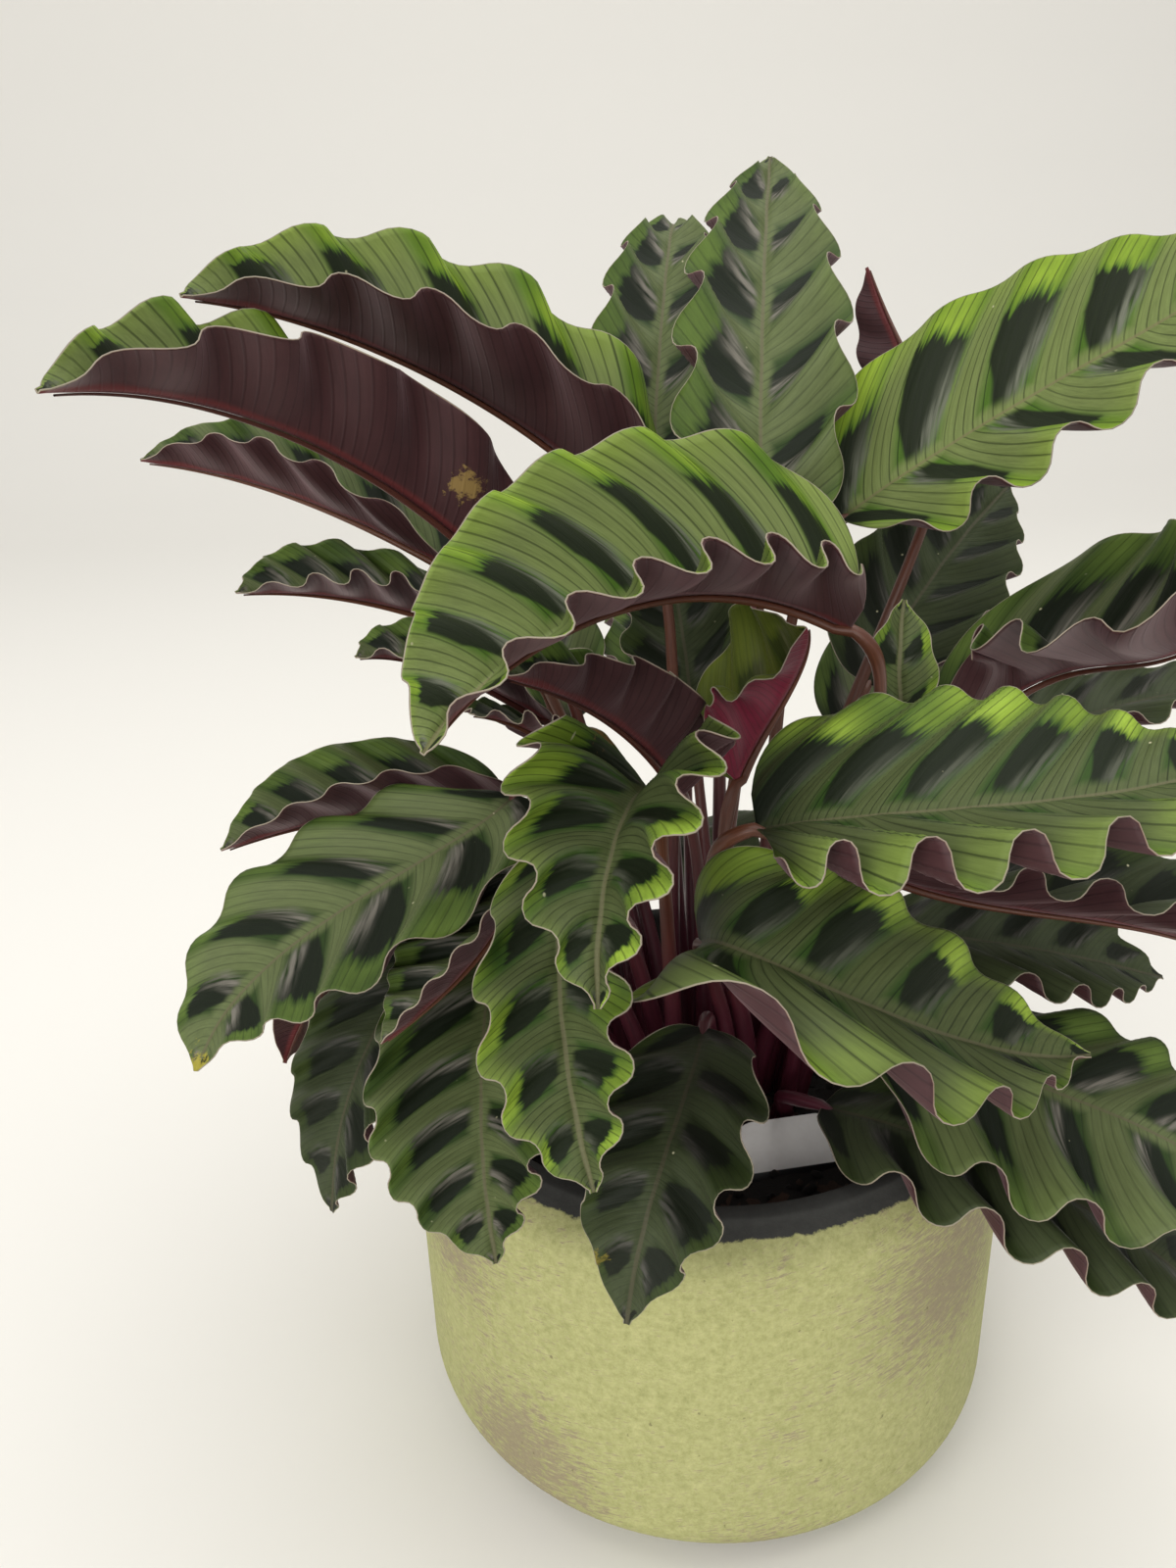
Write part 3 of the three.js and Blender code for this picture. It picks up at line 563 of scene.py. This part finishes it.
def material(name, **sockets):
    """A material, a function that adds nodes to it, and one that sets or links its shader's
    sockets, which start with these."""
    made = bpy.data.materials.new(name)
    made.use_nodes = True
    tree = made.node_tree
    shader = next(node for node in tree.nodes if node.type == "BSDF_PRINCIPLED")

    def fill(node, values):
        for key, value in values.items():
            if isinstance(value, bpy.types.NodeSocket):
                tree.links.new(value, node.inputs[key])
            else:
                node.inputs[key].default_value = linear(value) if isinstance(value, str) else value

    def add(kind, *inputs, out=0, **settings):
        """Adds a node, and gives one of its outputs. Inputs are given in order, as a dict by
        number, or by name with a capital letter. Settings have small letters."""
        node = tree.nodes.new("ShaderNode" + kind)
        values = dict(inputs[0] if inputs and isinstance(inputs[0], dict) else enumerate(inputs))
        for key, value in settings.items():
            if key[0].isupper():
                values[key] = value
            else:
                setattr(node, key, value)
        fill(node, values)
        return node.outputs[out]

    def finish(**sockets):
        fill(shader, {key.replace("_", " "): value for key, value in sockets.items()})

    finish(**sockets)
    return made, add, finish


def streaked(add, skin, fibres, depth):
    """The skin with lighter and darker fibres in it."""
    tone = add("MapRange", fibres, 0.25, 0.75, 1 - depth, 1 + depth)
    return add("Mix", {0: 1.0, 6: skin, 7: tone}, blend_type="MULTIPLY", **COLOUR)


# The leaves' patterns. Scales of noise are in repeats to the metre, or to the wave for fibres.
VEINS_PER_WAVE = 9
PATCH_SCALE = 45  # uneven growth, 22 mm
LOBE_SCALE = 38  # the length of a blotch, from lobe to lobe
FIBRE_SCALE = 34  # about 0.3 mm wide
FEATHER_SCALE = 15  # the teeth of a blotch's end, about 1 mm wide
FIBRE_STRETCH = 0.12
SPECK_SCALE = 170  # at most one in 6 mm
SPARSE_SCALE = 120
UNDER_FIBRE_SCALE = 30
UNDER_PATCH_SCALE = 60
RAGGED_SCALE = 420  # torn edges of dry spots, 2.4 mm
SPECK_COLOUR = "#b9b695"
MARGIN_CREAM = "#908b76"
MARGIN_PINK = "#86746a"
UNDER_MARGIN = "#85705f"
MARGIN_LINE = (0.2 * MM, 0.05 * MM)  # from the edge: where the cream line starts and is full


def leaf_maps(add, fibre_scale):
    """What both skins of a leaf are drawn from. u counts the waves along the blade, a runs from
    the rib to either margin, and right is 1 on the right half. Fibres are noise drawn out along
    the veins."""
    vein, flat, edge = [add("UVMap", uv_map=name) for name in ("vein", "flat", "edge")]
    u, v = add("SeparateXYZ", vein, out=slice(2))
    a = add("Math", v, operation="ABSOLUTE")
    right = add("Math", v, 0.0, operation="GREATER_THAN")
    from_rib = add("Math", add("SeparateXYZ", flat, out=1), operation="ABSOLUTE")
    margin = add("MapRange", add("SeparateXYZ", edge), *MARGIN_LINE, **SMOOTH)
    fibre_place = add("CombineXYZ", u, add("Math", a, FIBRE_STRETCH, **TIMES), right)
    fibres = add("TexNoise", fibre_place, Scale=fibre_scale, Detail=3, Roughness=0.65)
    return dict(flat=flat, edge=edge, u=u, a=a, right=right, from_rib=from_rib, margin=margin,
                fibre_place=fibre_place, fibres=fibres)


def vein_lines(add, u, jitter, thin, wide):
    """1 on the fine side veins and 0 between them, and a count of the veins along the blade."""
    wobbled = add("Math", u, jitter, operation="ADD")
    counted = add("Math", wobbled, VEINS_PER_WAVE, **TIMES)
    apart = add("Math", counted, 0.5, operation="PINGPONG")
    return add("MapRange", apart, wide, thin, **SMOOTH), counted


# Old wounds and dry edges: the leaf, how far along and how far to the right of the rib (mm) the
# middle of each lies, its radius in mm and its colour.
BLEMISHES = [("low_left", 0.22, -12, 5.5, "#927944"), ("front_middle", 0.16, 19, 9, "#7d5f3c"),
             ("left_big", 1.0, 0, 7, "#9d9338"), ("front_drop", 0.84, 9, 3.5, "#7a6f2c")]


def with_blemishes(add, shade, flat, skin):
    """The skin with the blemishes of this shade's leaves drawn on it, ragged at their edges."""
    ragged = add("TexNoise", flat, Scale=RAGGED_SCALE, Detail=4, Roughness=0.7)
    ragged = add("Math", ragged, 0.5, operation="SUBTRACT")
    for number, leaf in enumerate(LEAVES):
        for name, s, right, radius, colour in BLEMISHES:
            if name == leaf["name"] and shade == leaf["shade"]:
                along = number * PATCH_SPACING + s * leaf["length"] * MM
                away = add("VectorMath", {0: flat, 1: Vector((along, right * MM, 0))}, out=1,
                           operation="DISTANCE")
                near = add("MapRange", away, radius * MM, 0.0, clamp=False)
                near = add("Math", ragged, 3.0, near, **TIMES_PLUS)
                dry = add("MapRange", near, 0.25, 0.55, 0.0, 0.85)
                skin = add("Mix", {0: dry, 6: skin, 7: colour}, **COLOUR)
    return skin


def leaf_upper(shade, look):
    """The upper skin of a leaf: a satin, waxy surface. Pale bands run along the side veins to the
    notches, a near-black blotch with a feathered end lies in each lobe, a painted grey sheen along
    its tip side, and the fine veins show as dark lines and shallow pleats."""
    made, add, finish = material("leaf_upper_" + shade, IOR=1.45, Specular_IOR_Level=0.16,
                                 Sheen_Weight=look["sheen"], Sheen_Roughness=0.45,
                                 Sheen_Tint="#d9d2cf")
    maps = leaf_maps(add, FIBRE_SCALE)
    u, a, right, flat, from_rib, fibres = [
        maps[name] for name in ("u", "a", "right", "flat", "from_rib", "fibres")]
    feather = add("TexNoise", maps["fibre_place"], Scale=FEATHER_SCALE, Roughness=0.6)
    teeth = add("Math", feather, -0.5, operation="ADD")

    # Irregular growth: blotches wander a little, and differ in length and width. The right half has
    # the left one's pattern turned round, with the sharp side of its blotches towards the tip.
    patch = add("TexNoise", flat, Scale=PATCH_SCALE, Detail=1)
    shift = add("Math", patch, -0.5, operation="ADD")
    u_patch = add("Math", shift, 0.16, u, **TIMES_PLUS)
    phase = add("Math", u_patch, 0.5, -0.5, operation="WRAP")
    mirror = add("Math", right, -2.0, 1.0, **TIMES_PLUS)
    phase = add("Math", phase, mirror, **TIMES)
    distance = add("Math", phase, operation="ABSOLUTE")
    lobe_place = add("CombineXYZ", add("SeparateXYZ", flat), right)
    lobe_noise = add("TexNoise", lobe_place, Scale=LOBE_SCALE, Detail=0)

    # The blotch: a wedge from near the rib, with one sharp side and one that fades.
    half = add("MapRange", a, 0.0, 0.4, 0.08, look["blotch_width"])
    half = add("Math", shift, 0.10, half, **TIMES_PLUS)
    base_side = add("Math", phase, half, operation="ADD")
    base_side = add("MapRange", base_side, -0.025, 0.025, **SMOOTH)
    tip_edge = add("Math", half, phase, operation="SUBTRACT")
    tip_edge = add("Math", teeth, 0.22, tip_edge, **TIMES_PLUS)
    tip_side = add("MapRange", tip_edge, -0.05, 0.08, **SMOOTH)
    end = add("Math", lobe_noise, 0.35, look["blotch_end"] - 0.175, **TIMES_PLUS)
    end = add("Math", teeth, 0.30, end, **TIMES_PLUS)
    left = add("Math", end, a, operation="SUBTRACT")
    outer = add("MapRange", left, -0.02, 0.04, **SMOOTH)
    start = look["blotch_start"]
    inner = add("MapRange", a, start - 0.05, start + 0.06, **SMOOTH)
    blotch = base_side
    for limit in (tip_side, outer, inner):
        blotch = add("Math", blotch, limit, **TIMES)

    # Ground: pale grey-green bands, deep green beside the blotches, bright green past their ends.
    band = add("MapRange", distance, 0.20, 0.38, **SMOOTH)
    near_rib = add("MapRange", from_rib, 4.5 * MM, 1.5 * MM, **SMOOTH)
    band = add("Math", band, near_rib, operation="MAXIMUM")
    ground = add("Mix", {0: band, 6: look["deep"], 7: look["band"]}, **COLOUR)
    past = add("MapRange", left, 0.03, -0.10, **SMOOTH)
    bright = add("Math", past, add("MapRange", distance, 0.36, 0.10), **TIMES)
    near_edge = add("MapRange", a, 0.65, 1.0, 0.0, 0.38, **SMOOTH)
    bright = add("Math", bright, near_edge, operation="MAXIMUM")
    for limit in (add("MapRange", patch, 0.2, 0.62), look["bright"]):
        bright = add("Math", bright, limit, **TIMES)
    ground = add("Mix", {0: bright, 6: ground, 7: look["lobe"]}, **COLOUR)
    ground = streaked(add, ground, fibres, 0.18)

    # Fine veins, of uneven strength.
    lines, counted = vein_lines(add, u, add("Math", teeth, 0.02, **TIMES), 0.03, 0.13)
    which = add("Math", counted, operation="FLOOR")
    strength = add("TexWhiteNoise", W=which, noise_dimensions="1D")
    strength = add("Math", strength, 0.6, 0.4, **TIMES_PLUS)
    for limit in (look["lines"], lines):
        strength = add("Math", strength, limit, **TIMES)
    ground = add("Mix", {0: strength, 6: ground, 7: look["blotch"]}, **COLOUR)
    dark = add("Mix", {0: fibres, 6: look["blotch"], 7: look["blotch_light"]}, **COLOUR)
    skin = add("Mix", {0: blotch, 6: ground, 7: dark}, **COLOUR)

    # A painted sheen: a soft grey highlight colour along the tip side of each blotch.
    sheen = add("Math", phase, add("Math", half, 0.8, **TIMES), operation="SUBTRACT")
    sheen = add("Math", sheen, operation="ABSOLUTE")
    sheen = add("MapRange", sheen, 0.17, 0.03, **SMOOTH)
    for limit in (add("MapRange", a, 0.75, 0.4), add("MapRange", feather, 0.34, 0.62),
                  inner, look["painted_sheen"]):
        sheen = add("Math", sheen, limit, **TIMES)

    # Midrib, dark foot of the blade, tiny pale specks and margin line.
    rib_line = add("MapRange", from_rib, 0.7 * MM, 0.3 * MM, 0.0, 0.8, **SMOOTH)
    s = add("SeparateXYZ", maps["edge"], out=1)
    foot = add("MapRange", s, look["dark_foot"], 0.0, 0.0, 0.75, **SMOOTH)
    specks = add("MapRange", add("TexVoronoi", flat, Scale=SPECK_SCALE), 0.07, 0.03)
    sparse = add("MapRange", add("TexNoise", flat, Scale=SPARSE_SCALE, Detail=0), 0.6, 0.7)
    specks = add("Math", specks, sparse, **TIMES)
    # The painted sheen goes on first, a highlight laid on as colour.
    for share, colour in ((sheen, look["painted_sheen_colour"]), (rib_line, look["rib"]),
                          (foot, look["blotch"]), (specks, SPECK_COLOUR)):
        skin = add("Mix", {0: share, 6: skin, 7: colour}, **COLOUR)
    skin = with_blemishes(add, shade, flat, skin)
    skin = add("Mix", {0: maps["margin"], 6: skin, 7: MARGIN_CREAM}, **COLOUR)

    gloss = add("MapRange", fibres, 0.2, 0.8, 0.42, 0.58)
    gloss = add("Math", blotch, 0.05, gloss, **TIMES_PLUS)
    pleats = add("Math", counted, math.pi, **TIMES)
    for step in ("SINE", "ABSOLUTE"):
        pleats = add("Math", pleats, operation=step)
    relief = add("Math", pleats, 0.4, fibres, **TIMES_PLUS)
    bump = add("Bump", Height=relief, Strength=0.5, Distance=0.25 * MM)
    finish(Base_Color=skin, Roughness=gloss, Normal=bump)
    return made


def leaf_under(shade, look):
    """The underside of a leaf: burgundy, softer than the upper skin, with faint veins."""
    made, add, finish = material("leaf_under_" + shade, Roughness=0.55, IOR=1.45,
                                 Specular_IOR_Level=0.35, Sheen_Weight=0.24, Sheen_Roughness=0.5,
                                 Sheen_Tint="#c9a9ae")
    maps = leaf_maps(add, UNDER_FIBRE_SCALE)
    patch = add("TexNoise", maps["flat"], Scale=UNDER_PATCH_SCALE, Detail=3, Roughness=0.6)
    skin = add("Mix", {0: patch, 6: look["under"], 7: look["under_light"]}, **COLOUR)
    skin = streaked(add, skin, maps["fibres"], 0.18)
    lines, _ = vein_lines(add, maps["u"], 0.0, 0.02, 0.16)
    faint = add("Math", lines, 0.45, **TIMES)
    red_rib = add("MapRange", maps["from_rib"], 2.2 * MM, 0.8 * MM, **SMOOTH)
    for share, colour in ((faint, look["under_vein"]), (red_rib, look["under_rib"])):
        skin = add("Mix", {0: share, 6: skin, 7: colour}, **COLOUR)
    skin = with_blemishes(add, shade, maps["flat"], skin)
    skin = add("Mix", {0: maps["margin"], 6: skin, 7: UNDER_MARGIN}, **COLOUR)
    relief = add("Math", maps["fibres"], 0.6, lines, **TIMES_PLUS)
    bump = add("Bump", Height=relief, Strength=0.4, Distance=0.2 * MM)
    finish(Base_Color=skin, Normal=bump)
    return made


# The ages of the leaves. blotch_width is in waves, from the middle of a blotch to its side;
# blotch_start and blotch_end are shares of the half width, and dark_foot is one of the length.
SHARED_LOOK = dict(blotch_start=0.1, dark_foot=0.1, sheen=0.0, under="#32191c",
                   under_light="#47292b", under_vein="#240c10", under_rib="#5d2425")
# One strength and one colour in each look set the painted sheen, a grey highlight on the blotches.
LOOKS = {
    "fresh": dict(band="#6f7c49", deep="#44621f", lobe="#90ab34", rib="#74714f", bright=0.85,
                  blotch="#12180d", blotch_light="#242c1a", blotch_width=0.29, blotch_start=0.07,
                  blotch_end=0.72, lines=0.75, painted_sheen=0.9, painted_sheen_colour="#6f7264",
                  dark_foot=0.06),
    "young": dict(band="#515b38", deep="#2f471b", lobe="#89a33a", rib="#66644a", bright=1.0,
                  blotch="#10160c", blotch_light="#1f2717", blotch_width=0.24, blotch_end=0.66,
                  lines=0.75, painted_sheen=0.5, painted_sheen_colour="#676a5c", dark_foot=0.2),
    "mature": dict(band="#59633f", deep="#283a18", lobe="#647a36", rib="#5f5c45", bright=0.7,
                   blotch="#0c110a", blotch_light="#1c2416", blotch_width=0.25, blotch_end=0.68,
                   lines=0.45, painted_sheen=0.9, painted_sheen_colour="#77736a", sheen=0.01),
    "old": dict(band="#3c442d", deep="#263019", lobe="#425024", rib="#4b4938", bright=0.6,
                blotch="#10140c", blotch_light="#20261a", blotch_width=0.28, blotch_start=0.12,
                blotch_end=0.74, lines=0.35, painted_sheen=0.55, painted_sheen_colour="#62605a", sheen=0.03),
    "new": dict(band="#5c6424", deep="#3f4a16", lobe="#6f7a28", rib="#7a7438", bright=0.6,
                blotch="#2a3210", blotch_light="#3b4518", blotch_width=0.22, blotch_end=0.5,
                lines=0.4, painted_sheen=0.3, painted_sheen_colour="#8a8764", sheen=0.05, dark_foot=0.02,
                under="#5a0b22", under_light="#761434", under_vein="#300610",
                under_rib="#701f30"),
}
LOOKS = {shade: {**SHARED_LOOK, **look} for shade, look in LOOKS.items()}


def leaf_margin():
    """The cut edge of a leaf: a thickened, cream to pinkish seam."""
    made, add, finish = material("leaf_margin", Roughness=0.5)
    patch = add("TexNoise", add("TexCoord", out=3), Scale=90)
    seam = add("Mix", {0: patch, 6: MARGIN_CREAM, 7: MARGIN_PINK}, **COLOUR)
    finish(Base_Color=seam)
    return made


SHEATH_TOP = (0.05, 0.13)  # metres along a stalk: where its purple sheath fades


def stalk_skin():
    """Leaf stalks: smooth, slightly glossy skin, purple-red on the sheaths at the soil and
    red-brown higher up, with fine lengthwise fibres."""
    made, add, finish = material("stalk_skin", Roughness=0.38, IOR=1.45)
    around, height = add("SeparateXYZ", add("UVMap", uv_map="skin"), out=slice(2))
    which = add("Math", add("Math", around, 0.5, 0.5, **TIMES_PLUS), operation="FLOOR")
    tint = add("TexWhiteNoise", W=which, noise_dimensions="1D")
    upper = add("Mix", {0: tint, 6: "#45201c", 7: "#613b28"}, **COLOUR)
    sheath = add("MapRange", height, *SHEATH_TOP, **SMOOTH)
    skin = add("Mix", {0: sheath, 6: "#4a1c28", 7: upper}, **COLOUR)
    place = add("CombineXYZ", add("Math", around, 9, **TIMES), add("Math", height, 40, **TIMES))
    fibres = add("TexNoise", place, Scale=1.6, Detail=3, Roughness=0.6)
    skin = streaked(add, skin, fibres, 0.35)
    bump = add("Bump", Height=fibres, Strength=0.5, Distance=0.2 * MM)
    finish(Base_Color=skin, Normal=bump)
    return made


# The planter's paint. Scales are in repeats to the metre.
CLOUD_SCALE = 26  # 38 mm
MOTTLE_SCALE = 380  # 2.6 mm
GRAIN_SCALE = 900  # 1.1 mm
SCRATCH_SCALE = 240  # 4 mm long, and a sixth of that wide
SCRATCH_THINNESS = 6
SCRATCH_CLIMB = -0.2
PAINT_EDGE = (POT_HEIGHT - 3.6, POT_HEIGHT - 3.2)  # mm: the rim is bare above this
PAINT_TEAR = 2.2  # mm up and down that the paint's edge wanders
# Where the wash is rubbed thin: the middle of each patch, and its radius, in mm.
WORN_SPOTS = [((62, -68, 92), 52), ((-78, -46, 96), 42), ((-56, -68, 24), 48), ((6, -74, 8), 38),
              ((20, 88, 70), 45), ((-70, 55, 40), 38), ((86, 30, 30), 36)]


def planter_paint():
    """Earthenware with matte lime wash, rubbed thin in patches where grey-brown clay shows through
    between fine brush scratches, and a bare charcoal rim with a ragged edge of paint below it."""
    made, add, finish = material("planter_paint", Roughness=0.85, IOR=1.45)
    place = add("TexCoord", out=3)
    x, y, z = add("SeparateXYZ", place, out=slice(3))
    outward = add("VectorMath", add("CombineXYZ", x, y), out=1, operation="LENGTH")
    cloud = add("TexNoise", place, Scale=CLOUD_SCALE, Detail=5, Roughness=0.6)
    mottle = add("TexNoise", place, Scale=MOTTLE_SCALE, Detail=4, Roughness=0.75)
    grain = add("TexNoise", place, Scale=GRAIN_SCALE, Detail=3, Roughness=0.7)

    # Scratches run round the pot and climb a little to the right.
    climbing = add("Math", x, SCRATCH_CLIMB, z, **TIMES_PLUS)
    climbing = add("Math", climbing, SCRATCH_THINNESS, **TIMES)
    brushed = add("CombineXYZ", x, y, climbing)
    scratches = add("TexNoise", brushed, Scale=SCRATCH_SCALE, Detail=3, Roughness=0.75)

    worn = add("MapRange", cloud, 0.5, 0.85, 0.0, 0.5)
    for spot, radius in WORN_SPOTS:
        away = add("VectorMath", {0: place, 1: Vector(spot) * MM}, out=1, operation="DISTANCE")
        near = add("MapRange", away, radius * MM, 0.15 * radius * MM, **SMOOTH)
        worn = add("Math", worn, near, operation="MAXIMUM")
    patchy = add("Math", add("Math", cloud, -0.5, operation="ADD"), 0.9, worn, **TIMES_PLUS)
    texture = add("Math", mottle, 0.35, add("Math", scratches, 0.65, **TIMES), **TIMES_PLUS)
    rubbed = add("Math", patchy, 0.165, texture, **TIMES_PLUS)
    rubbed = add("MapRange", rubbed, 0.57, 0.67, 0.0, 0.95)

    dabs = add("MapRange", mottle, 0.3, 0.7)
    wash = add("Mix", {0: dabs, 6: "#91935e", 7: "#b0af7a"}, **COLOUR)
    flecks = add("MapRange", add("TexNoise", place, Scale=420), 0.72, 0.78, 0.0, 0.6)
    for share, colour in ((rubbed, "#8b8067"), (flecks, "#5c563a")):
        wash = add("Mix", {0: share, 6: wash, 7: colour}, **COLOUR)
    tone = add("MapRange", grain, 0.3, 0.7, 0.92, 1.07)
    wash = add("Mix", {0: 1.0, 6: wash, 7: tone}, blend_type="MULTIPLY", **COLOUR)

    ragged = add("TexNoise", place, Scale=260, Detail=4, Roughness=0.7)
    ragged = add("Math", ragged, -0.5, operation="ADD")
    ragged = add("Math", ragged, PAINT_TEAR * MM, z, **TIMES_PLUS)
    bare = add("MapRange", ragged, *[height * MM for height in PAINT_EDGE])
    inside = add("MapRange", outward, (POT_RIM_RADIUS - 0.9) * MM, (POT_RIM_RADIUS - 1.1) * MM)
    over_foot = add("MapRange", z, 5 * MM, 8 * MM)
    inside = add("Math", inside, over_foot, **TIMES)
    bare = add("Math", bare, inside, operation="MAXIMUM")
    clay = add("Mix", {0: mottle, 6: "#262725", 7: "#40403d"}, **COLOUR)
    coat = add("Mix", {0: bare, 6: wash, 7: clay}, **COLOUR)
    relief = add("Math", scratches, 0.5, grain, **TIMES_PLUS)
    bump = add("Bump", Height=relief, Strength=0.4, Distance=0.25 * MM)
    finish(Base_Color=coat, Normal=bump)
    return made


def black_plastic():
    """Thin injection-moulded polypropylene, black and slightly dusty."""
    made, add, finish = material("black_plastic", Roughness=0.45, IOR=1.49)
    dust = add("TexNoise", add("TexCoord", out=3), Scale=120, Detail=4, Roughness=0.7)
    skin = add("Mix", {0: add("MapRange", dust, 0.5, 0.8), 6: "#0d0d0d", 7: "#2b2926"}, **COLOUR)
    bump = add("Bump", Height=dust, Strength=0.2, Distance=0.1 * MM)
    finish(Base_Color=skin, Normal=bump)
    return made


def peat():
    """Moist peat and bark: dull, very dark brown crumbs of about 3 mm, some of them lighter."""
    made, add, finish = material("peat", Roughness=0.95)
    place = add("TexCoord", out=3)
    clods = add("TexVoronoi", place, Scale=330.0, out=1)
    fine = add("TexNoise", place, Scale=700, Detail=4, Roughness=0.7)
    lighter = add("MapRange", add("SeparateXYZ", clods), 0.7, 1.0)
    skin = add("Mix", {0: lighter, 6: "#120d09", 7: "#3b281b"}, **COLOUR)
    bump = add("Bump", Height=fine, Strength=0.8, Distance=0.6 * MM)
    finish(Base_Color=skin, Normal=bump)
    return made


CARD_BLACK_TOP = 103  # mm: height of the black lower part


def card():
    """Coated card: white above, black below, with nothing printed on it."""
    made, add, finish = material("coated_card", Roughness=0.35, IOR=1.5)
    place = add("TexCoord", out=3)
    z = add("SeparateXYZ", place, out=2)
    black = add("MapRange", z, (CARD_BLACK_TOP + 0.1) * MM, (CARD_BLACK_TOP - 0.1) * MM)
    fibres = add("TexNoise", place, Scale=500)
    white = add("Mix", {0: fibres, 6: "#f0eeea", 7: "#faf9f6"}, **COLOUR)
    skin = add("Mix", {0: black, 6: white, 7: "#0c0c0d"}, **COLOUR)
    finish(Base_Color=skin)
    return made


UPPER = {shade: leaf_upper(shade, look) for shade, look in LOOKS.items()}
UNDER = {shade: leaf_under(shade, look) for shade, look in LOOKS.items()}
MARGIN = leaf_margin()
STALK_SKIN = stalk_skin()
PLANTER_PAINT = planter_paint()
BLACK_PLASTIC = black_plastic()
PEAT = peat()
CARD = card()

planter()
nursery_pot()
soil()
plant_label()
stalks()
for number, leaf in enumerate(LEAVES):
    leaf_blade(number, leaf)


# ---- studio, in metres ----
FLOOR_FRONT = -2.4
FLOOR_BACK = 1.6
FLOOR_HALF_WIDTH = 3.2
SWEEP_RADIUS = 0.9
BACKDROP_HEIGHT = 3.4
PAPER_WHITE = "#e8e6e1"
DAYLIGHT = "#f6f5f3"  # from all round
DAYLIGHT_STRENGTH = 0.68
# Soft lights: place, the point they face, size, power in watts and colour.
SOFT_LIGHTS = {
    "window_left": ((-1.7, -2.0, 2.1), (0, 0, 0.22), (1.6, 1.6), 33, "#fffdf9"),
    "ceiling": ((0.3, 0.1, 1.9), (0, 0, 0.2), (2.0, 2.0), 21, "#fffefb"),
    "front_fill": ((-0.3, -1.9, 0.75), (0, 0, 0.2), (1.5, 1.0), 15, "#fffdf9"),
}


def sweep():
    """Floor and backdrop in one sheet of white paper, with a wide curve between them."""
    bm = bmesh.new()
    verts, x, t = grid(bm, 2, 40)
    flat_run = FLOOR_BACK - FLOOR_FRONT
    bend = SWEEP_RADIUS * math.pi / 2
    run = t * (flat_run + bend + BACKDROP_HEIGHT)
    angle = np.clip((run - flat_run) / SWEEP_RADIUS, 0, math.pi / 2)
    y = np.where(run < flat_run, FLOOR_FRONT + run, FLOOR_BACK + SWEEP_RADIUS * np.sin(angle))
    rise = SWEEP_RADIUS * (1 - np.cos(angle)) + np.maximum(0, run - flat_run - bend)
    z = np.where(run < flat_run, 0, rise)
    move_to(verts, np.stack([x * FLOOR_HALF_WIDTH, y, z], 1))
    paper, _, _ = material("studio_paper", Roughness=0.9, Base_Color=PAPER_WHITE)
    piece = placed("studio_sweep", to_mesh(bm, "studio_sweep"), [paper])


def soft_light(name, place, aim, size, power, colour):
    data = bpy.data.lights.new(name, "AREA")
    data.shape = "RECTANGLE"
    data.size, data.size_y = size
    data.energy = power
    data.color = linear(colour)[:3]
    light = bpy.data.objects.new(name, data)
    light.location = place
    light.rotation_euler = (Vector(aim) - Vector(place)).to_track_quat("-Z", "Y").to_euler()
    bpy.context.scene.collection.objects.link(light)


def studio_lights():
    world = bpy.data.worlds.new("studio")
    world.use_nodes = True
    background = world.node_tree.nodes["Background"]
    background.inputs["Color"].default_value = linear(DAYLIGHT)
    background.inputs["Strength"].default_value = DAYLIGHT_STRENGTH
    bpy.context.scene.world = world
    for name, settings in SOFT_LIGHTS.items():
        soft_light(name, *settings)


# The photograph's camera, from the ellipse of the rim and the lines of the pot.
CAMERA_PLACE = (-33.4, -317.0, 339.5)  # mm
CAMERA_PITCH = math.radians(22.3)  # below level
CAMERA_ROLL = math.radians(-2.0)
FOCAL_PIXELS = 1215
PHOTO_HEIGHT = 1600
SENSOR = 36  # mm


def camera():
    data = bpy.data.cameras.new("camera")
    data.sensor_fit = "VERTICAL"
    data.sensor_height = SENSOR
    data.sensor_width = SENSOR
    data.lens = FOCAL_PIXELS / PHOTO_HEIGHT * SENSOR
    data.clip_start = 0.01
    eye = bpy.data.objects.new("camera", data)
    forward = Vector((0, math.cos(CAMERA_PITCH), -math.sin(CAMERA_PITCH)))
    level = Vector((1, 0, 0))
    upright = level.cross(forward)
    right = level * math.cos(CAMERA_ROLL) + upright * math.sin(CAMERA_ROLL)
    top = upright * math.cos(CAMERA_ROLL) - level * math.sin(CAMERA_ROLL)
    turn = Matrix((right, top, -forward)).transposed().to_4x4()
    eye.matrix_world = Matrix.Translation(Vector(CAMERA_PLACE) * MM) @ turn
    bpy.context.scene.collection.objects.link(eye)
    bpy.context.scene.camera = eye


sweep()
studio_lights()
camera()
bpy.context.scene.view_settings.view_transform = "Standard"
